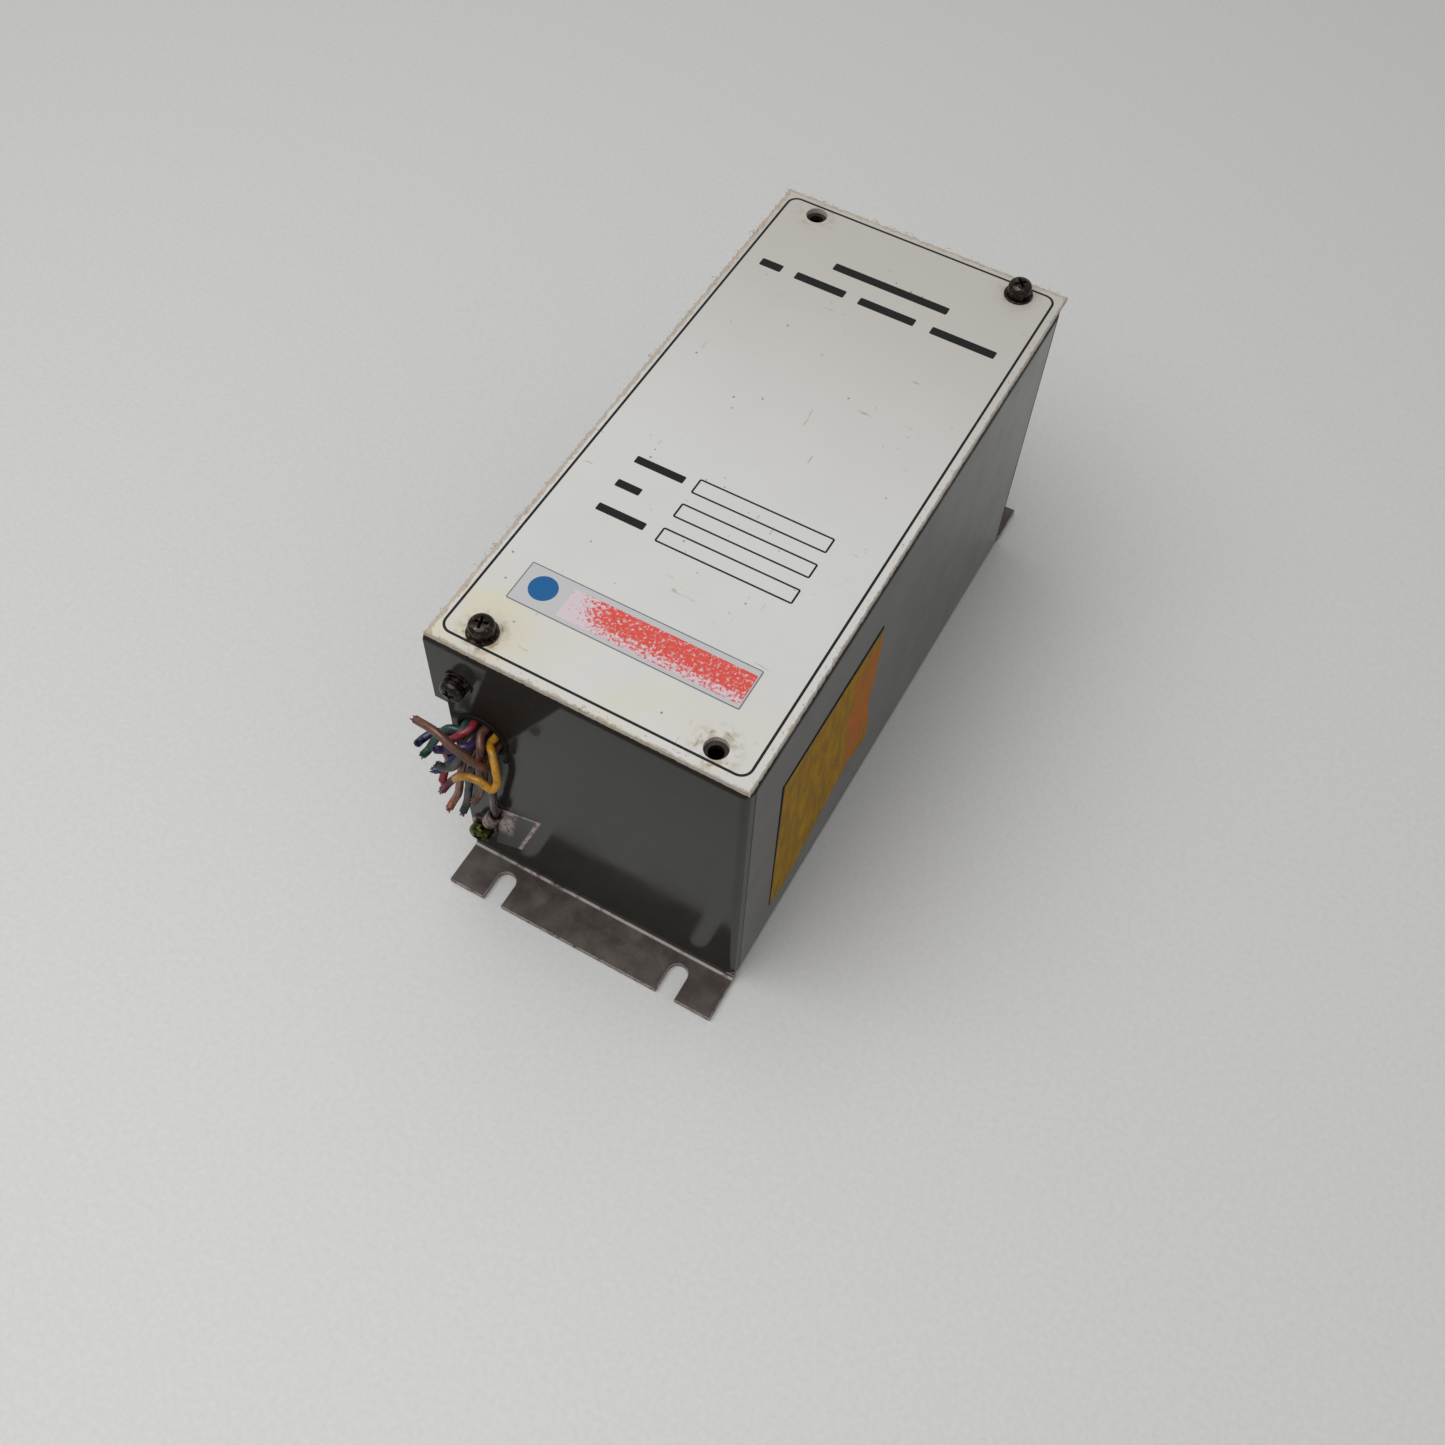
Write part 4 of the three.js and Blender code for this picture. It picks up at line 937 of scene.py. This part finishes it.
def tube(bm, path, radius, sides=16, core=None, material=0):
    """Sweeps a circle along a path. With a core radius, the far end is a cut sleeve, open to there."""
    across = None
    rows = []
    sizes = [(p, radius) for p in path]
    if core:
        inward = (path[-2] - path[-1]).normalized()
        sizes += [(path[-1], core), (path[-1] + inward * SLEEVE_DEPTH, core)]
    directions = [(b - a).normalized() for a, b in zip(path, path[1:])]
    directions += [directions[-1]] * (len(sizes) - len(directions))
    for (point, size), along in zip(sizes, directions):
        if across is None:
            across = along.orthogonal().normalized()
        across = (across - along * across.dot(along)).normalized()
        other = along.cross(across)
        row = []
        for k in range(sides):
            angle = 2 * math.pi * k / sides
            offset = across * math.cos(angle) + other * math.sin(angle)
            row.append(bm.verts.new((point + offset * size) * MM))
        rows.append(row)
    faces = [bm.faces.new(rows[0]), bm.faces.new(rows[-1])]
    for one, two in zip(rows, rows[1:]):
        for k in range(sides):
            j = (k + 1) % sides
            faces.append(bm.faces.new((one[k], one[j], two[j], two[k])))
    for face in faces:
        face.material_index = material


def wire_path(ring, degrees, route):
    """From the connector straight out through the hole in the wall, then along the route."""
    angle = math.radians(degrees)
    x = WIRE_HOLE.x + RING[ring] * math.cos(angle)
    z = WIRE_HOLE.z + RING[ring] * math.sin(angle)
    straight = [(x, y, z) for y in (CONNECTOR_FRONT - 0.3, FRONT_Y + 5, FRONT_Y, FRONT_Y - 2.5)]
    return smooth_path([*straight, *route])


def copper_strands(bm, tip, along):
    """The copper in a wire's cut end: one strand in the middle and the others around it."""
    side = along.orthogonal().normalized()
    for k in range(1 + STRANDS["around"]):
        spread = 0.0 if k == 0 else STRANDS["ring"]
        offset = Matrix.Rotation(k * 2 * math.pi / STRANDS["around"], 3, along) @ side * spread
        reach = draw.uniform(0.25, 1.1)
        splay = offset * draw.uniform(0.2, 0.9)
        foot = tip + offset
        strand = [foot - along * SLEEVE_DEPTH, foot, foot + along * reach + splay]
        tube(bm, strand, STRANDS["radius"], sides=6, material=1)


barrel_tilt = Matrix.Rotation(BARREL["tilt"], 3, "Y")
ground_seat = Vector((ground.x, FRONT_Y, ground.z))
into_barrel = [ground_seat + barrel_tilt @ Vector((0, -BARREL["stand_off"], rise))
               for rise in (BARREL["top"], BARREL["wire_end"])]
copper = metal("copper_strands", (0.80, 0.36, 0.20), (0.30, 0.11, 0.06), rough=(0.25, 0.5), size=0.8)
for name, (color, ring, degrees, route) in WIRES.items():
    bm = bmesh.new()
    if name == "ground":
        tube(bm, wire_path(ring, degrees, [*route, *into_barrel]), WIRE_RADIUS)
    else:
        path = wire_path(ring, degrees, route)
        tube(bm, path, WIRE_RADIUS, core=SLEEVE_BORE)
        copper_strands(bm, path[-1], (path[-1] - path[-3]).normalized())
    node = f"wire_{name}"
    piece(node + "_detailed", mesh_from(bm, node, 50), [insulation(name, color), copper], "housing", [node])


# ---- torn film and rubber ------------------------------------------------------------------------
def lid_fibres():
    """Short hairs of torn film, two on the lid's left edge for each one on its rear edge."""
    count = 90
    rooted = 0.25  # how far inside the edge a hair starts
    height = LID_HIGH.z - 0.2
    bm = bmesh.new()
    for k in range(count):
        share = draw.random()
        if k % 3 > 0:
            root = Vector((LID_LOW.x + rooted, LID_LOW.y + share * (LID_HIGH.y - LID_LOW.y), height))
            outward, along = Vector((-1, 0, 0)), Vector((0, 1, 0))
        else:
            root = Vector((LID_LOW.x + share * (LID_HIGH.x - LID_LOW.x), LID_HIGH.y - rooted, height))
            outward, along = Vector((0, 1, 0)), Vector((1, 0, 0))
        reach = draw.uniform(0.3, 1.1)
        drift = draw.uniform(-1.6, 1.6)
        rise = draw.uniform(-0.1, 0.5)
        bend = root + outward * reach + along * drift * 0.4 + Vector((0, 0, rise))
        tip_reach = reach * draw.uniform(0.6, 1.4)
        tip = root + outward * tip_reach + along * drift + Vector((0, 0, rise * 0.5))
        tube(bm, smooth_path([root, bend, tip], 0.3), draw.uniform(0.04, 0.08), sides=5)
    return mesh_from(bm, "lid_fibres", 80)


piece("lid_edge_fibres", lid_fibres(), [raw_edge], "lid")

GROMMET = [  # its section from the inside of the wall to the outside: radius, then distance from the wall
    (5.8, -2.7), (7.0, -2.7), (7.1, -2.6), (7.1, -1.7), (7.0, -1.6), (6.4, -1.6), (6.4, 0.1), (6.95, 0.1),
    (7.0, 0.18), (6.9, 0.45), (6.65, 0.62), (6.2, 0.68), (5.95, 0.62), (5.8, 0.45),
]


def torn_threads():
    """Two small loops of torn rubber on the grommet's lip."""
    lip = Vector((WIRE_HOLE.x + 6.9, FRONT_Y - 0.6, WIRE_HOLE.z - 3.6))
    steps = 8
    bm = bmesh.new()
    for size, lean in ((0.9, 0.3), (0.7, -0.5)):
        loop = []
        for k in range(steps + 1):
            angle = math.radians(-120 + 250 * k / steps)
            out = 0.7 + 0.9 * math.sin(angle / 2) ** 2
            loop.append(lip + Vector((size * math.cos(angle), -out, size * math.sin(angle) + lean)))
        tube(bm, smooth_path(loop, 0.2), 0.15, sides=8)
    return mesh_from(bm, "grommet_torn_threads")


rubber = plastic("grommet_rubber", (0.007, 0.006, 0.0055), rough=(0.6, 0.8), dusty=0.03, specular=0.15)
grommet = mesh_from(lathe(GROMMET), "grommet", 35)
grommet.transform(stand((WIRE_HOLE.x, FRONT_Y, WIRE_HOLE.z), "-y"))
piece("cable_grommet_detailed", grommet, [rubber], "housing", ["cable_grommet"])
piece("grommet_torn_threads", torn_threads(), [rubber], "housing")


# ---- inside --------------------------------------------------------------------------------------
milled = metal("milled_aluminium", (0.72, 0.72, 0.73), (0.55, 0.55, 0.56), rough=(0.28, 0.4), size=1.5,
               stretch=(1, 0.03, 1))
zinc = metal("zinc_plate", (0.66, 0.67, 0.68), (0.42, 0.42, 0.43), rough=(0.22, 0.4))
brass = metal("brass", (0.72, 0.55, 0.24), (0.50, 0.35, 0.13), rough=(0.2, 0.4))
case_black = plastic("module_case_black", (0.022, 0.022, 0.024))
INNER = {  # material, and the width of the rounded edges
    "heat_spreader": (milled, 0.3),
    "module_base_front": (milled, 0.25),
    "module_base_rear": (milled, 0.25),
    "module_case_front": (case_black, 0.6),
    "module_case_rear": (case_black, 0.6),
    "control_board": (board_mask(), 0.1),
    "harness_connector": (plastic("nylon_white", (0.66, 0.64, 0.55)), 0.4),
    "transformer_core": (core_laminations(), 0.3),
    "transformer_winding": (winding_tape(), 0.8),
    "capacitor": (plastic("capacitor_sleeve", (0.012, 0.022, 0.085), rough=(0.2, 0.3)), 0.2),
    "varistor": (plastic("varistor_dip", (0.025, 0.12, 0.36), rough=(0.25, 0.35)), 0.7),
    "fuse_holder": (case_black, 0.3),
    "fuse": (fuse_glass(), 0.2),
}
for node, (material, width) in INNER.items():
    refined(node, [material], width=width, segments=3, smooth=35)
for k in range(1, 5):
    refined(f"board_post_{k}", [brass], width=0.3, smooth=35)
for end in ("front", "rear"):
    for k in (1, 2):
        screw(f"module_screw_{end}_{k}", "z", zinc)
        screw(f"module_terminal_{end}_{k}", "z", brass)


# ---- floor, light and camera ---------------------------------------------------------------------
floor_shader = Shader("pale_floor")
speckle = floor_shader.noise(1.4, detail=3)
floor_color = floor_shader.mix(speckle, (0.47, 0.47, 0.46), (0.56, 0.56, 0.55))
floor_bump = floor_shader.bump(speckle, 0.15, 0.5)
floor_material = floor_shader.done(color=floor_color, rough=0.55, normal=floor_bump)
FLOOR_SIZE = 6
FLOOR_DROP = 0.0002  # keeps the floor clear of the feet
bpy.ops.mesh.primitive_plane_add(size=FLOOR_SIZE, location=(0, 0, -FLOOR_DROP))
floor = bpy.context.object
floor.name = "floor"
floor.data.materials.append(floor_material)

world = bpy.data.worlds.new("studio")
scene.world = world
world.use_nodes = True
background = world.node_tree.nodes["Background"]
background.inputs["Color"].default_value = (1.0, 1.0, 1.0, 1)
background.inputs["Strength"].default_value = 0.52


def area_light(name, place, size, power):
    """A square light that shines at the middle of the floor."""
    light = bpy.data.lights.new(name, "AREA")
    light.size = size
    light.energy = power
    obj = bpy.data.objects.new(name, light)
    obj.location = place
    obj.rotation_euler = (-Vector(place)).to_track_quat("-Z", "Y").to_euler()
    scene.collection.objects.link(obj)


area_light("overhead", (-0.18, -0.24, 0.85), 0.75, 6.1)

CAMERA = {"azimuth": 26.367, "elevation": 57.532, "roll": 3.388, "place": (104.17, -229.82, 373.80)}
FOCAL = 1573.5 / 1445  # focal length over the width of the frame
SENSOR = 36.0
azimuth, elevation, roll = (math.radians(CAMERA[k]) for k in ("azimuth", "elevation", "roll"))
back = Vector((math.sin(azimuth) * math.cos(elevation), -math.cos(azimuth) * math.cos(elevation),
               math.sin(elevation)))
level = Vector((0, 0, 1)).cross(back).normalized()
upward = back.cross(level)
right = level * math.cos(roll) + upward * math.sin(roll)
up = upward * math.cos(roll) - level * math.sin(roll)
camera_data = bpy.data.cameras.new("camera")
camera_data.sensor_width = SENSOR
camera_data.lens = SENSOR * FOCAL
camera_data.clip_start = 0.01
camera = bpy.data.objects.new("camera", camera_data)
scene.collection.objects.link(camera)
turned = Matrix((right, up, back)).transposed().to_4x4()
camera.matrix_world = Matrix.Translation(Vector(CAMERA["place"]) * MM) @ turned
scene.camera = camera

bpy.context.view_layer.update()
